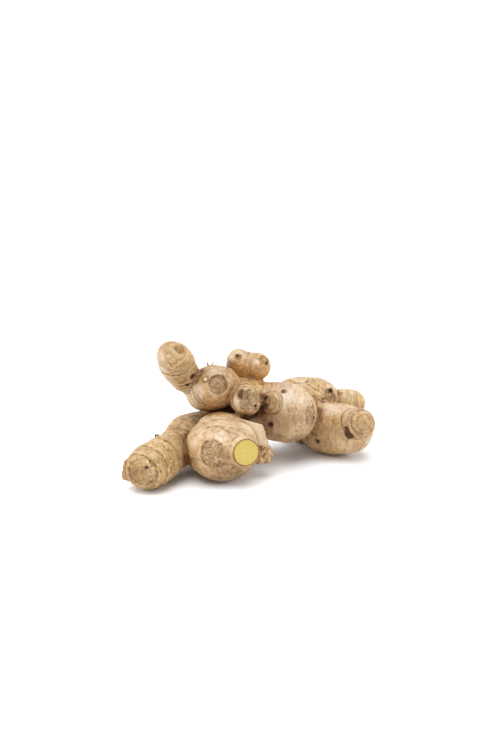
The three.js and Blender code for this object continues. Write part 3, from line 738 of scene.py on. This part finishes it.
def flesh_material():
    """Cut flesh: yellow and moist, with a ring under the skin and the ends of fibres."""
    r = Recipe("cut flesh")
    tint = colours()
    centre = tuple(to_frame(CUT_AT) / MM)
    object_mm = r.place_mm()
    from_centre = r.node("ShaderNodeVectorMath", {"operation": "SUBTRACT"}, {0: object_mm, 1: centre})
    away = r.node("ShaderNodeVectorMath", {"operation": "LENGTH"}, {0: from_centre}, output=1)
    fine = r.noise(object_mm, 1.1, 4, 0.6)
    cloud = r.noise(object_mm, 0.25, 2, 0.5)
    away = away + (fine - 0.5) * 0.5
    radius = shape().cut_radius / MM
    colour = r.mix(r.rise(cloud, 0.35, 0.65) * 0.35, tint.flesh, tint.flesh_ring)
    pale = r.noise(r.stretched(object_mm, (0.5, 0.5, 0.7)), 1.0, 4, 0.65, 0.8)
    colour = r.mix(r.rise(pale, 0.48, 0.7) * 0.28, colour, tint.flesh_pale)
    colour = r.mix(r.peak(away, radius - 1.4, 0.45) * 0.45, colour, tint.flesh_ring)
    colour = r.mix(r.rise(away, radius - 0.75, radius - 0.1) * 0.8, colour, tint.ring)
    dots = r.node("ShaderNodeTexVoronoi", {}, {"Vector": object_mm, "Scale": 0.9})
    dot = r.rise(dots, 0.2, 0.1) * r.rise(fine, 0.45, 0.6)
    colour = r.mix(dot * 0.35, colour, tint.flesh_ring)
    rough = 0.36 + (fine - 0.5) * 0.3
    height = fine * 0.12 + cloud * 0.15 - dot * 0.08
    return r.finish(colour, rough, height, 0.8, **{"Subsurface Weight": 0.15, "Subsurface Scale": 0.004})


def paper_material():
    """Dry scales: cream and thin, brown at the torn edge, with fibres along them."""
    r = Recipe("papery scale")
    tint = colours()
    sheet, edge, brown = r.held("sheet", VECTOR), r.held("edge"), r.held("bark")
    fibres = r.noise(r.stretched(sheet, (1.4, 0.16, 1.0)), 1.0, 4, 0.65, 0.3)
    fine = r.noise(sheet, 0.9, 3, 0.6)
    colour = r.layers(
        tint.scale, (fibres, 0.45, 0.75, 0.35, tint.bark), (edge + (fine - 0.5) * 0.8, 0.75, 1.1, 0.35, tint.bark),
        (edge + (fine - 0.5) * 0.3, 0.3, 0.0, 0.5, tint.bark))
    colour = r.mix(brown * 0.9, colour, r.mix(fibres, tint.golden, tint.bark))
    colour = r.mix(r.rise(brown, 0.85, 1.0) * 0.7, colour, tint.ring)
    rough = 0.62 + (fine - 0.5) * 0.2
    return r.finish(colour, rough, fibres * 0.3 + fine * 0.1, 0.8)


def stub_material():
    """Dried root stubs: dark brown and rough."""
    r = Recipe("root stub")
    tint = colours()
    fine = r.noise(r.place_mm(), 1.6, 3, 0.6)
    colour = r.mix(r.rise(fine, 0.35, 0.65), tint.bruise, tint.bark)
    return r.finish(colour, 0.75 + (fine - 0.5) * 0.2, fine * 0.3, 0.8)


def vertices(mesh, field="co"):
    values = np.empty(len(mesh.vertices) * 3)
    mesh.vertices.foreach_get(field, values)
    return values.reshape(-1, 3)


def set_vertices(mesh, points):
    """Moves the vertices to points in the layout."""
    mesh.vertices.foreach_set("co", np.ascontiguousarray(to_frame(points), float).ravel())
    mesh.update()


def hold(mesh, **fields):
    """Keeps numbers, vectors and colours on the mesh's vertices under the names that the materials read."""
    for name, values in fields.items():
        width = 1 if values.ndim == 1 else values.shape[1]
        kind, field = {1: ("FLOAT", "value"), 3: ("FLOAT_VECTOR", "vector"), 4: ("FLOAT_COLOR", "color")}[width]
        attribute = mesh.attributes.new(name, kind, "POINT")
        attribute.data.foreach_set(field, np.ascontiguousarray(values, np.float32).ravel())


def opaque(tone):
    """Colours with their fourth channel."""
    return np.column_stack([tone, np.ones(len(tone))])


def start_piece(name, add, **options):
    """Adds a primitive with nothing else selected and returns its object."""
    bpy.ops.object.select_all(action="DESELECT")
    add(**options)
    piece = bpy.context.active_object
    piece.name = name
    piece.data.name = name
    return piece


@contextmanager
def whole_mesh_edited():
    """Edit mode with all of the active mesh selected."""
    bpy.ops.object.mode_set(mode="EDIT")
    bpy.ops.mesh.select_all(action="SELECT")
    yield
    bpy.ops.object.mode_set(mode="OBJECT")


def face_outwards():
    with whole_mesh_edited():
        bpy.ops.mesh.normals_make_consistent(inside=False)


def apply_modifier(piece, kind, **settings):
    modifier = piece.modifiers.new(kind.title(), kind)
    for name, value in settings.items():
        setattr(modifier, name, value)
    bpy.context.view_layer.objects.active = piece
    bpy.ops.object.modifier_apply(modifier=modifier.name)


def join(pieces, name):
    """Joins objects into the first one."""
    bpy.ops.object.select_all(action="DESELECT")
    for piece in pieces:
        piece.select_set(True)
    bpy.context.view_layer.objects.active = pieces[0]
    bpy.ops.object.join()
    joined = bpy.context.active_object
    joined.name = name
    joined.data.name = name
    return joined


def settle(piece, material):
    """Moves a finished piece's place into its mesh, paints it and hands it to the frame."""
    bpy.ops.object.select_all(action="DESELECT")
    piece.select_set(True)
    bpy.context.view_layer.objects.active = piece
    bpy.ops.object.transform_apply(location=True, rotation=True, scale=True)
    piece.data.shade_smooth()
    piece.data.materials.clear()
    piece.data.materials.append(material)
    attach(piece, "root")
    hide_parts(NODE)


def outward_frame(facing):
    """Across, outward and upward directions of a mark on the skin."""
    out = unit(facing)
    across = unit(np.cross(UP, out))
    return across, out, np.cross(out, across)


def grow_lobe(lobe):
    """A sphere primitive drawn out into a lobe."""
    piece = start_piece(lobe.name, bpy.ops.mesh.primitive_uv_sphere_add, segments=96, ring_count=64, radius=1.0)
    x, y, z = vertices(piece.data).T
    set_vertices(piece.data, lobe.surface((np.clip(z, -1, 1) + 1) / 2, np.arctan2(y, x), shape().unevenness))
    return piece


def grow_cut_stub():
    """The short stub behind the cut face, with a rounded skin edge."""
    radius, edge = shape().cut_radius / MM, shape().cut_edge / MM
    piece = start_piece("cut_stub", bpy.ops.mesh.primitive_cylinder_add, vertices=72, radius=1.0, depth=1.0)
    with whole_mesh_edited():
        bpy.ops.mesh.subdivide(number_cuts=1)
    across, out, upward = outward_frame(CUT_FACING)
    x, y, z = vertices(piece.data).T
    wide = np.where(z > 0, radius + 0.6 * edge, radius + edge + CUT_FLARE)
    deep = np.where(z > 0, 0.0, -CUT_DEEP)
    places = np.array(CUT_AT) + (x * wide)[:, None] * across + (y * wide)[:, None] * upward + deep[:, None] * out
    set_vertices(piece.data, places)
    face_outwards()
    apply_modifier(piece, "BEVEL", width=edge * 1.1 * MM, segments=4, limit_method="ANGLE")
    return piece


def grow_stump():
    """The broken stump beside the cut face: a jagged block with rounded corners."""
    piece = start_piece("stump", bpy.ops.mesh.primitive_cube_add, size=2.0)
    with whole_mesh_edited():
        bpy.ops.mesh.subdivide(number_cuts=15)
    cube = vertices(piece.data)
    round_off = 1 - 0.18 * ((cube ** 2).sum(1) - 1)
    x, y, z = cube.T
    places = cube * round_off[:, None] * np.array(STUMP_SIZE) / 2
    places += 0.8 * np.stack([np.sin(3 * y + 4 * z + 1), np.sin(3 * x + 2 * z), np.sin(4 * x + 3 * y + 2)], 1)
    places += 0.7 * jitter(places, 2.6, (1, 2, 3))
    set_vertices(piece.data, places + STUMP_AT)
    return piece


def smooth(places, edges, strength, rounds):
    """Moves points towards the middle of their neighbours, by a strength for each point."""
    count = np.bincount(edges.ravel(), minlength=len(places)).astype(float)
    first, second = edges.T
    for _ in range(rounds):
        total = np.stack([
            np.bincount(first, places[second, k], len(places)) + np.bincount(second, places[first, k], len(places))
            for k in range(3)], 1)
        places = places + strength[:, None] * (total / count[:, None] - places)
    return places


class SkinMap:
    """What each point of the skin belongs to: its lobe, its place on it, its rings and how near a crease it is."""

    def __init__(self, points):
        measured = [lobe.measure(points) for lobe in GROWTH]
        heights = np.stack([height for _, _, height in measured])
        order = np.argsort(heights, axis=0)
        every = np.arange(len(points))
        self.owner = order[0]
        gap = heights[order[1], every] - heights[order[0], every]
        names = [lobe.name for lobe in GROWTH]
        soft = np.zeros((len(names), len(names)), bool)
        for first, second in MELTED:
            soft[names.index(first), names.index(second)] = soft[names.index(second), names.index(first)] = True
        melted = soft[order[0], order[1]]
        self.melted = melted * np.exp(-gap / MELT_REACH)
        self.crease = np.where(melted, MELTED_CREASE, 1.0) * np.exp(-gap / CREASE_REACH)
        weights = np.exp(-np.maximum(heights - heights.min(0), 0) / TONE_REACH)
        weights /= weights.sum(0)
        self.tone = weights.T @ np.stack([lobe.colour for lobe in GROWTH])
        self.place = np.stack([place for place, _, _ in measured])[self.owner, every]
        turn = np.stack([turn for _, turn, _ in measured])[self.owner, every]
        girth = self._mine(np.mean(lobe.girth) for lobe in GROWTH)
        along = self.place * self._mine(lobe.length for lobe in GROWTH)
        shift = LOBE_SHIFT * self.owner
        self.growth = np.stack([along + shift, girth * np.cos(turn) + shift, girth * np.sin(turn)], 1)
        self.lift = self._mine(lobe.lift for lobe in GROWTH)
        self.dark = self._mine(lobe.dark for lobe in GROWTH)
        self.ring = self._nearest("rings")
        self.faint = self._nearest("faint")

    def _mine(self, facts):
        """For each point the fact of its own lobe."""
        return np.array(list(facts))[self.owner]

    def _nearest(self, kind):
        """How far each point is past the nearest ring of its lobe, in mm."""
        nearest = np.full(len(self.place), NO_RING)
        for number, lobe in enumerate(GROWTH):
            rings = getattr(lobe, kind)
            mine = self.owner == number
            if len(rings) and mine.any():
                past = (self.place[mine][:, None] - rings[None, :]) * lobe.length
                nearest[mine] = past[np.arange(len(past)), np.abs(past).argmin(1)]
        return nearest


def seclusion(points, facing):
    """How hidden each point is between the lobes, from 0 in the open to 1."""
    hidden = np.zeros(len(points))
    for reach, share in PROBES:
        probe = points + reach * facing
        room = np.min([lobe.measure(probe)[2] for lobe in GROWTH], axis=0)
        hidden += share * np.clip(1 - room / reach, 0, 1)
    return hidden


def ring_relief(past, lift):
    """A rise up to a ring's edge, then a step down."""
    before = lift * np.exp(np.minimum(past, 0) / 2.2)
    after = -0.5 * lift * np.exp(-np.maximum(past, 0) / 1.6)
    step = blend_step(-RING_EDGE / 2, RING_EDGE / 2, past)
    return before * (1 - step) + after * step


class Scars:
    """The scars' marks on the skin: moves, distance from the middle in scar radii, colour and place inside."""

    def __init__(self, points):
        self.moves = np.zeros_like(points)
        self.rho = np.full(len(points), NO_SCAR)
        self.tone = np.zeros((len(points), 3))
        self.spot = np.zeros((len(points), 3))
        self.round = np.zeros(len(points))
        for number, (at, facing, (wide, tall), sunk, collar, colour, circles) in enumerate(SCARS):
            across, out, upward = outward_frame(facing)
            arm = points - np.array(at)
            x, y, deep = arm @ across, arm @ upward, arm @ out
            turn = np.arctan2(y, x)
            rho = np.hypot(x / wide, y / tall) * (1 + 0.04 * np.sin(2 * turn + number) + 0.015 * np.sin(5 * turn))
            rho = np.where(np.abs(deep) < 9, rho, NO_SCAR)
            ridges = 0.2 * np.cos(rho * 19) * circles + 0.25 * grain(points, 1.8, 6)
            floor = blend_step(1.02, 0.86, rho) * sunk * (ridges - 1)
            rim = collar * hump(rho, 1.12, 0.15)
            self.moves += (floor + rim)[:, None] * out
            mine = rho < self.rho
            self.rho = np.where(mine, rho, self.rho)
            self.tone[mine] = linear(*colour)[:3]
            self.spot[mine] = np.stack([x, y, np.full(len(x), SCAR_SHIFT * number)], 1)[mine]
            self.round[mine] = circles


def crack_distance(points):
    """Distance in mm from each point to the nearest crack, up to NO_CRACK."""
    nearest = np.full(len(points), NO_CRACK)
    for name, *stops in CRACKS:
        lobe = next(lobe for lobe in GROWTH if lobe.name == name)
        place, turn = np.array(stops, float).T
        share = np.linspace(0, len(stops) - 1, 24 * len(stops))
        place = np.interp(share, range(len(stops)), place)
        turn = np.interp(share, range(len(stops)), turn)
        path = lobe.surface(place, turn, shape().unevenness)
        path += 0.5 * jitter(path, 3.0, (81, 82, 83))
        close = np.nonzero(((points > path.min(0) - NO_CRACK) & (points < path.max(0) + NO_CRACK)).all(1))[0]
        away = np.linalg.norm(points[close][:, None, :] - path[None, :, :], axis=2).min(1)
        nearest[close] = np.minimum(nearest[close], away)
    return nearest


def spot_field(points, spots):
    """The strongest of several round fields, at full strength in the middle and 0 at SPOT_REACH radii."""
    field = np.zeros(len(points))
    for at, radius, *strength in spots:
        strength = strength[0] if strength else 1.0
        field = np.maximum(field, np.clip(1 - radii_away(points, at, radius) / SPOT_REACH, 0, 1) * strength)
    return field


def nearest_bud(points):
    """Distance to the nearest bud in bud radii, up to NO_BUD."""
    return np.min([radii_away(points, at, radius) for at, radius, *_ in BUDS] + [np.full(len(points), NO_BUD)], 0)


def melt_lobes(mesh):
    """Smooths the joined lobes where they meet, and returns their points in the layout."""
    edges = np.empty(len(mesh.edges) * 2, np.int32)
    mesh.edges.foreach_get("vertices", edges)
    edges = edges.reshape(-1, 2)
    points = vertices(mesh) / MM + FOOTPRINT
    points = smooth(points, edges, np.full(len(points), 0.5), 2)
    near = SkinMap(points)
    points = smooth(points, edges, 0.6 * blend_step(0.15, 0.7, near.crease), shape().fillet)
    return smooth(points, edges, 0.6 * blend_step(0.1, 0.6, near.melted), shape().melt)


def torn_bark(points):
    """How torn and rough the skin is, which is so on the stump alone."""
    away = np.linalg.norm((points - np.array(STUMP_AT)) / np.array(STUMP_SIZE), axis=1)
    return blend_step(0.72, 0.55, away)


def round_cut(points):
    """Distance from the axis of the cut, height over its face, up or down, and its outward direction."""
    across, out, upward = outward_frame(CUT_FACING)
    arm = points - np.array(CUT_AT)
    return np.hypot(arm @ across, arm @ upward), np.abs(arm @ out), out


def relief(points, facing, place, scars, crack, bark):
    """How far each point of the skin moves: rings, wrinkles, buds, pits, cracks, scars and the lip of the cut."""
    size = shape()
    lift = size.ring_lift / MM * place.lift * (1 + grain(place.growth, 9.0, 7)) * (1 - place.crease)
    ragged = 0.5 * grain(points, 2.4, 11)
    rise = ring_relief(place.ring + ragged, lift) + 0.35 * ring_relief(place.faint + ragged, lift)
    around = place.growth * np.array([0.8, 0.12, 0.12])
    rise += size.wrinkle / MM * (grain(around, 1.0, 13) + 0.5 * grain(around * 2.2, 1.0, 17))
    rise += 0.3 * grain(points, 11.0, 19) + 0.14 * grain(points, 4.2, 23) + 0.06 * grain(points, 1.9, 29)
    rise += bark * grain(points * np.array([1.0, 1.0, 0.25]), 1.5, 31)
    for at, radius, height, _ in BUDS:
        away = radii_away(points, at, radius)
        rise += height * (np.exp(-1.3 * away ** 2) - 0.5 * np.exp(-9 * away ** 2))
        rise -= 0.25 * height * hump(away, 1.35, 0.3)
    for at, radius, depth in PITS:
        rise -= depth * np.exp(-1.6 * radii_away(points, at, radius) ** 2)
    cut, over, out = round_cut(points)
    rise = rise * (1 - blend_step(CUT_SMOOTH[1], CUT_SMOOTH[0], cut) * (over < 3))
    rise += 0.2 * hump(crack, 1.5, 0.7) - 0.4 * hump(crack, 0.0, 0.8)
    lip = LIP_HEIGHT * hump(cut, LIP_AT, LIP_WIDTH) * (over < 4)
    return rise[:, None] * facing + scars.moves + lip[:, None] * out


def skin_tone(points, facing, place):
    """Colour of the skin under its marks: its lobe, stains and painted patches of shade and light, painted shade facing
    down and a painted sheen facing up.
    """
    ground = place.tone
    # Stains of the skin's own, and patches of painted shade and painted light, laid one over another.
    for at, radius, stain_and_shade_colour, strength in STAINS_AND_PAINTED_LIGHT:
        share = (strength * blend_step(1.35, 0.35, radii_away(points, at, radius)))[:, None]
        ground = ground * (1 - share) + np.array(linear(*stain_and_shade_colour)[:3]) * share
    # Painted shade where the skin faces down, and a painted bluish sheen where it faces up.
    under = blend_step(0.0, 0.95, -facing[:, 2])[:, None]
    over = blend_step(0.2, 1.0, facing[:, 2])[:, None]
    tone = ground * (0.91 + 0.1 * grain(points, 16.0, 37))[:, None] * BALANCE
    return tone * (1 - under * PAINTED_SHADE_UNDER) * (1 + over * PAINTED_SHEEN_ABOVE)


def crevice_shade(points, facing):
    """How hidden each point is, less where the shade is lifted, and the painted crevice shade on its colour that this
    gives.
    """
    closed_in = seclusion(points, facing) * (1 - 0.8 * spot_field(points, SHADE_LIFTS))
    hidden = blend_step(0.12, 0.75, closed_in)
    deepest = blend_step(0.35, 0.72, closed_in)
    return hidden, (1 - hidden[:, None] * PAINTED_SHADE_HIDDEN) * (1 - deepest[:, None] * PAINTED_SHADE_DEEPEST)


class GINGER_OT_skin(bpy.types.Operator):
    """Grow the lobes, melt them into one hide and raise its rings, scars, buds and wrinkles"""

    bl_idname = "ginger.skin"
    bl_label = "Skin"

    def execute(self, context):
        skin = join([*(grow_lobe(lobe) for lobe in GROWTH), grow_cut_stub(), grow_stump()], "skin")
        apply_modifier(skin, "REMESH", mode="VOXEL", voxel_size=shape().grid)
        mesh = skin.data
        points = melt_lobes(mesh)
        set_vertices(mesh, points)
        facing = vertices(mesh, "normal")
        place, scars, crack, bark = SkinMap(points), Scars(points), crack_distance(points), torn_bark(points)
        moved = points + relief(points, facing, place, scars, crack, bark)
        moved[:, 2] = np.maximum(moved[:, 2], 0.0)
        set_vertices(mesh, moved)

        hidden, shade = crevice_shade(points, facing)
        cut, over, _ = round_cut(points)
        hold(mesh, tone=opaque(skin_tone(points, facing, place)), shade=opaque(shade), scar_tone=opaque(scars.tone),
             scar_spot=scars.spot, scar_round=scars.round, growth=place.growth, ring=place.ring,
             faint_ring=place.faint, ring_dark=place.dark, crease=blend_step(0.25, 0.85, place.crease),
             hidden=hidden, scar=scars.rho, crack=crack, bud=nearest_bud(points),
             bud_tip=spot_field(points, [(at, 3 * radius, pale) for at, radius, _, pale in BUDS]),
             bruise=spot_field(points, BRUISES_AND_SHADE), blush=spot_field(points, BLUSHES),
             sheen=spot_field(points, SHEENS_AND_PALE_SKIN), pit=spot_field(points, [(at, radius) for at, radius, _ in PITS]),
             cut=np.where(over < 5, cut, NO_CUT), bark=bark)
        settle(skin, skin_material())
        return {"FINISHED"}


class GINGER_OT_cut_face(bpy.types.Operator):
    """Set the flat cut face into the end of its stub"""

    bl_idname = "ginger.cut_face"
    bl_label = "Cut face"

    def execute(self, context):
        radius = shape().cut_radius / MM
        piece = start_piece("cut_face", bpy.ops.mesh.primitive_circle_add, vertices=96, radius=1.0, fill_type="NGON")
        with whole_mesh_edited():
            bpy.ops.mesh.extrude_region_move(TRANSFORM_OT_translate={"value": (0, 0, 1.0)})
            for width in (0.03, 0.07, 0.2, 0.2, 0.2, 0.2):
                bpy.ops.mesh.inset(thickness=width, depth=0)
        x, y, z = vertices(piece.data).T
        away, turn = np.hypot(x, y), np.arctan2(y, x)
        reach = radius * (1 + 0.012 * np.sin(3 * turn + 1) + 0.008 * np.sin(7 * turn))
        top = FLESH_TOP - 0.28 * blend_step(0.93, 1.0, away) + 0.05 * grain(np.stack([x, y, z], 1) * radius, 3.0, 41)
        across, out, upward = outward_frame(CUT_FACING)
        height = np.where(z > 0.5, top, FLESH_BOTTOM)
        places = np.array(CUT_AT) + (x * reach)[:, None] * across
        places += (y * reach)[:, None] * upward + height[:, None] * out
        set_vertices(piece.data, places)
        face_outwards()
        settle(piece, flesh_material())
        return {"FINISHED"}


class GINGER_OT_scales(bpy.types.Operator):
    """Stand the thin papery scales on the skin"""

    bl_idname = "ginger.scales"
    bl_label = "Papery scales"

    def execute(self, context):
        sheets = []
        for number, (corners, bulge, thick, brown) in enumerate(SCALES):
            piece = start_piece(f"scale_{number}", bpy.ops.mesh.primitive_grid_add,
                                x_subdivisions=28, y_subdivisions=44, size=2.0)
            x, y, _ = vertices(piece.data).T
            across, down = (x + 1) / 2, (y + 1) / 2
            first, second, third, fourth = (np.array(corner, float) for corner in corners)
            wide = np.linalg.norm(second - first)
            tall = np.linalg.norm(fourth - first)
            flat = np.stack([across * wide, down * tall, np.full(len(x), SHEET_SHIFT * number)], 1)
            torn = 0.03 * np.sin(11 * down) + 0.03 * np.sin(23 * down + 1) + 0.05 * grain(flat, 1.2, 43)
            ragged = across * (0.3 + 0.7 * down) * torn
            reach = (across + ragged)[:, None]
            near = first + (second - first) * reach
            far = fourth + (third - fourth) * reach
            middle = 4 * across * (1 - 0.5 * across) * down * (1 - down)
            out = unit(np.cross(second - first, fourth - first))
            curl = 0.5 * grain(flat, 5.0, 47) + 0.25 * grain(flat, 2.2, 53)
            places = near + (far - near) * down[:, None] + middle[:, None] * np.array(bulge)
            places += (curl * across)[:, None] * out
            set_vertices(piece.data, places)
            hold(piece.data, sheet=flat, edge=across, bark=np.full(len(x), brown))
            apply_modifier(piece, "SOLIDIFY", thickness=thick * MM, offset=0.0)
            sheets.append(piece)
        piece = join(sheets, "papery_scales")
        face_outwards()
        settle(piece, paper_material())
        return {"FINISHED"}


class GINGER_OT_stubs(bpy.types.Operator):
    """Stand the dried root stubs on the skin"""

    bl_idname = "ginger.stubs"
    bl_label = "Root stubs"

    def execute(self, context):
        stubs = []
        for number, (at, facing, length, radius) in enumerate(STUBS):
            piece = start_piece(f"stub_{number}", bpy.ops.mesh.primitive_cone_add,
                                vertices=12, radius1=1.0, radius2=0.35, depth=1.0)
            with whole_mesh_edited():
                bpy.ops.mesh.subdivide(number_cuts=3)
            x, y, z = vertices(piece.data).T
            across, out, upward = outward_frame(facing)
            lean = 0.35 * length * (z + 0.5) ** 2
            places = np.array(at, float) + (x * radius + lean)[:, None] * across + (y * radius)[:, None] * upward
            places += ((z + 0.5) * (length + STUB_FOOT) - STUB_FOOT)[:, None] * out
            places += 0.12 * jitter(places, 0.8, (61, 67, 71))
            set_vertices(piece.data, places)
            stubs.append(piece)
        settle(join(stubs, "root_stubs"), stub_material())
        return {"FINISHED"}


def add_lamp(name, kind, place, facing, power, **settings):
    """A lamp that looks along a direction."""
    bpy.ops.object.light_add(type=kind, location=place)
    lamp = bpy.context.active_object
    lamp.name = name
    lamp.data.energy = power
    for setting, value in settings.items():
        setattr(lamp.data, setting, value)
    lamp.rotation_euler = Vector(facing).to_track_quat("-Z", "Y").to_euler()
    return lamp


class GINGER_OT_stage(bpy.types.Operator):
    """Lay the pale floor and set the studio lights and the camera"""

    bl_idname = "ginger.stage"
    bl_label = "Stage"

    def execute(self, context):
        floor = start_piece("floor", bpy.ops.mesh.primitive_plane_add, size=FLOOR_SIZE)
        r = Recipe("pale floor")
        shader = r.node("ShaderNodeBsdfPrincipled", {},
                        {"Base Color": FLOOR_COLOUR, "Roughness": 0.8, "Specular IOR Level": 0.1})
        r.node("ShaderNodeOutputMaterial", {}, {"Surface": shader})
        floor.data.materials.append(r.material)

        world = bpy.data.worlds.new("studio")
        world.use_nodes = True
        background = world.node_tree.nodes["Background"]
        background.inputs["Color"].default_value = (1.0, 1.0, 1.0, 1.0)
        background.inputs["Strength"].default_value = WORLD_POWER
        context.scene.world = world

        add_lamp("overhead", "SUN", SUN_AT, SUN_FACING, SUN_POWER, angle=math.radians(SUN_ANGLE))
        for name, (place, aim, power, width, height) in LAMPS.items():
            lamp = add_lamp(name, "AREA", place, Vector(aim) - Vector(place), power,
                            shape="RECTANGLE", size=width, size_y=height)
            lamp.visible_camera = False

        bpy.ops.object.camera_add(location=CAMERA_AT, rotation=(math.radians(CAMERA_TILT), 0, 0))
        camera = context.active_object
        camera.data.lens = CAMERA_LENS
        camera.data.sensor_width = CAMERA_SENSOR
        camera.data.clip_start = 0.01
        context.scene.camera = camera
        context.scene.view_settings.view_transform = "Standard"
        context.scene.view_settings.look = "None"
        return {"FINISHED"}


class GINGER_PT_panel(bpy.types.Panel):
    """Sizes, colours and steps of the ginger root"""

    bl_idname = "GINGER_PT_panel"
    bl_label = "Ginger root"
    bl_space_type = "VIEW_3D"
    bl_region_type = "UI"
    bl_category = "Ginger"

    def draw(self, context):
        layout = self.layout
        for group in (context.scene.ginger_shape, context.scene.ginger_colours):
            box = layout.box()
            for name in group.bl_rna.properties.keys():
                if name not in ("rna_type", "name"):
                    box.prop(group, name)
        for operator in STEPS:
            layout.operator(operator.bl_idname)


STEPS = (GINGER_OT_skin, GINGER_OT_cut_face, GINGER_OT_scales, GINGER_OT_stubs, GINGER_OT_stage)
CLASSES = (GingerShape, GingerColours, *STEPS, GINGER_PT_panel)


def register():
    for cls in CLASSES:
        bpy.utils.register_class(cls)
    bpy.types.Scene.ginger_shape = bpy.props.PointerProperty(type=GingerShape)
    bpy.types.Scene.ginger_colours = bpy.props.PointerProperty(type=GingerColours)


def unregister():
    del bpy.types.Scene.ginger_colours
    del bpy.types.Scene.ginger_shape
    for cls in reversed(CLASSES):
        bpy.utils.unregister_class(cls)


def main():
    register()
    for operator in STEPS:
        group, name = operator.bl_idname.split(".")
        getattr(getattr(bpy.ops, group), name)()


if __name__ == "__main__":
    main()
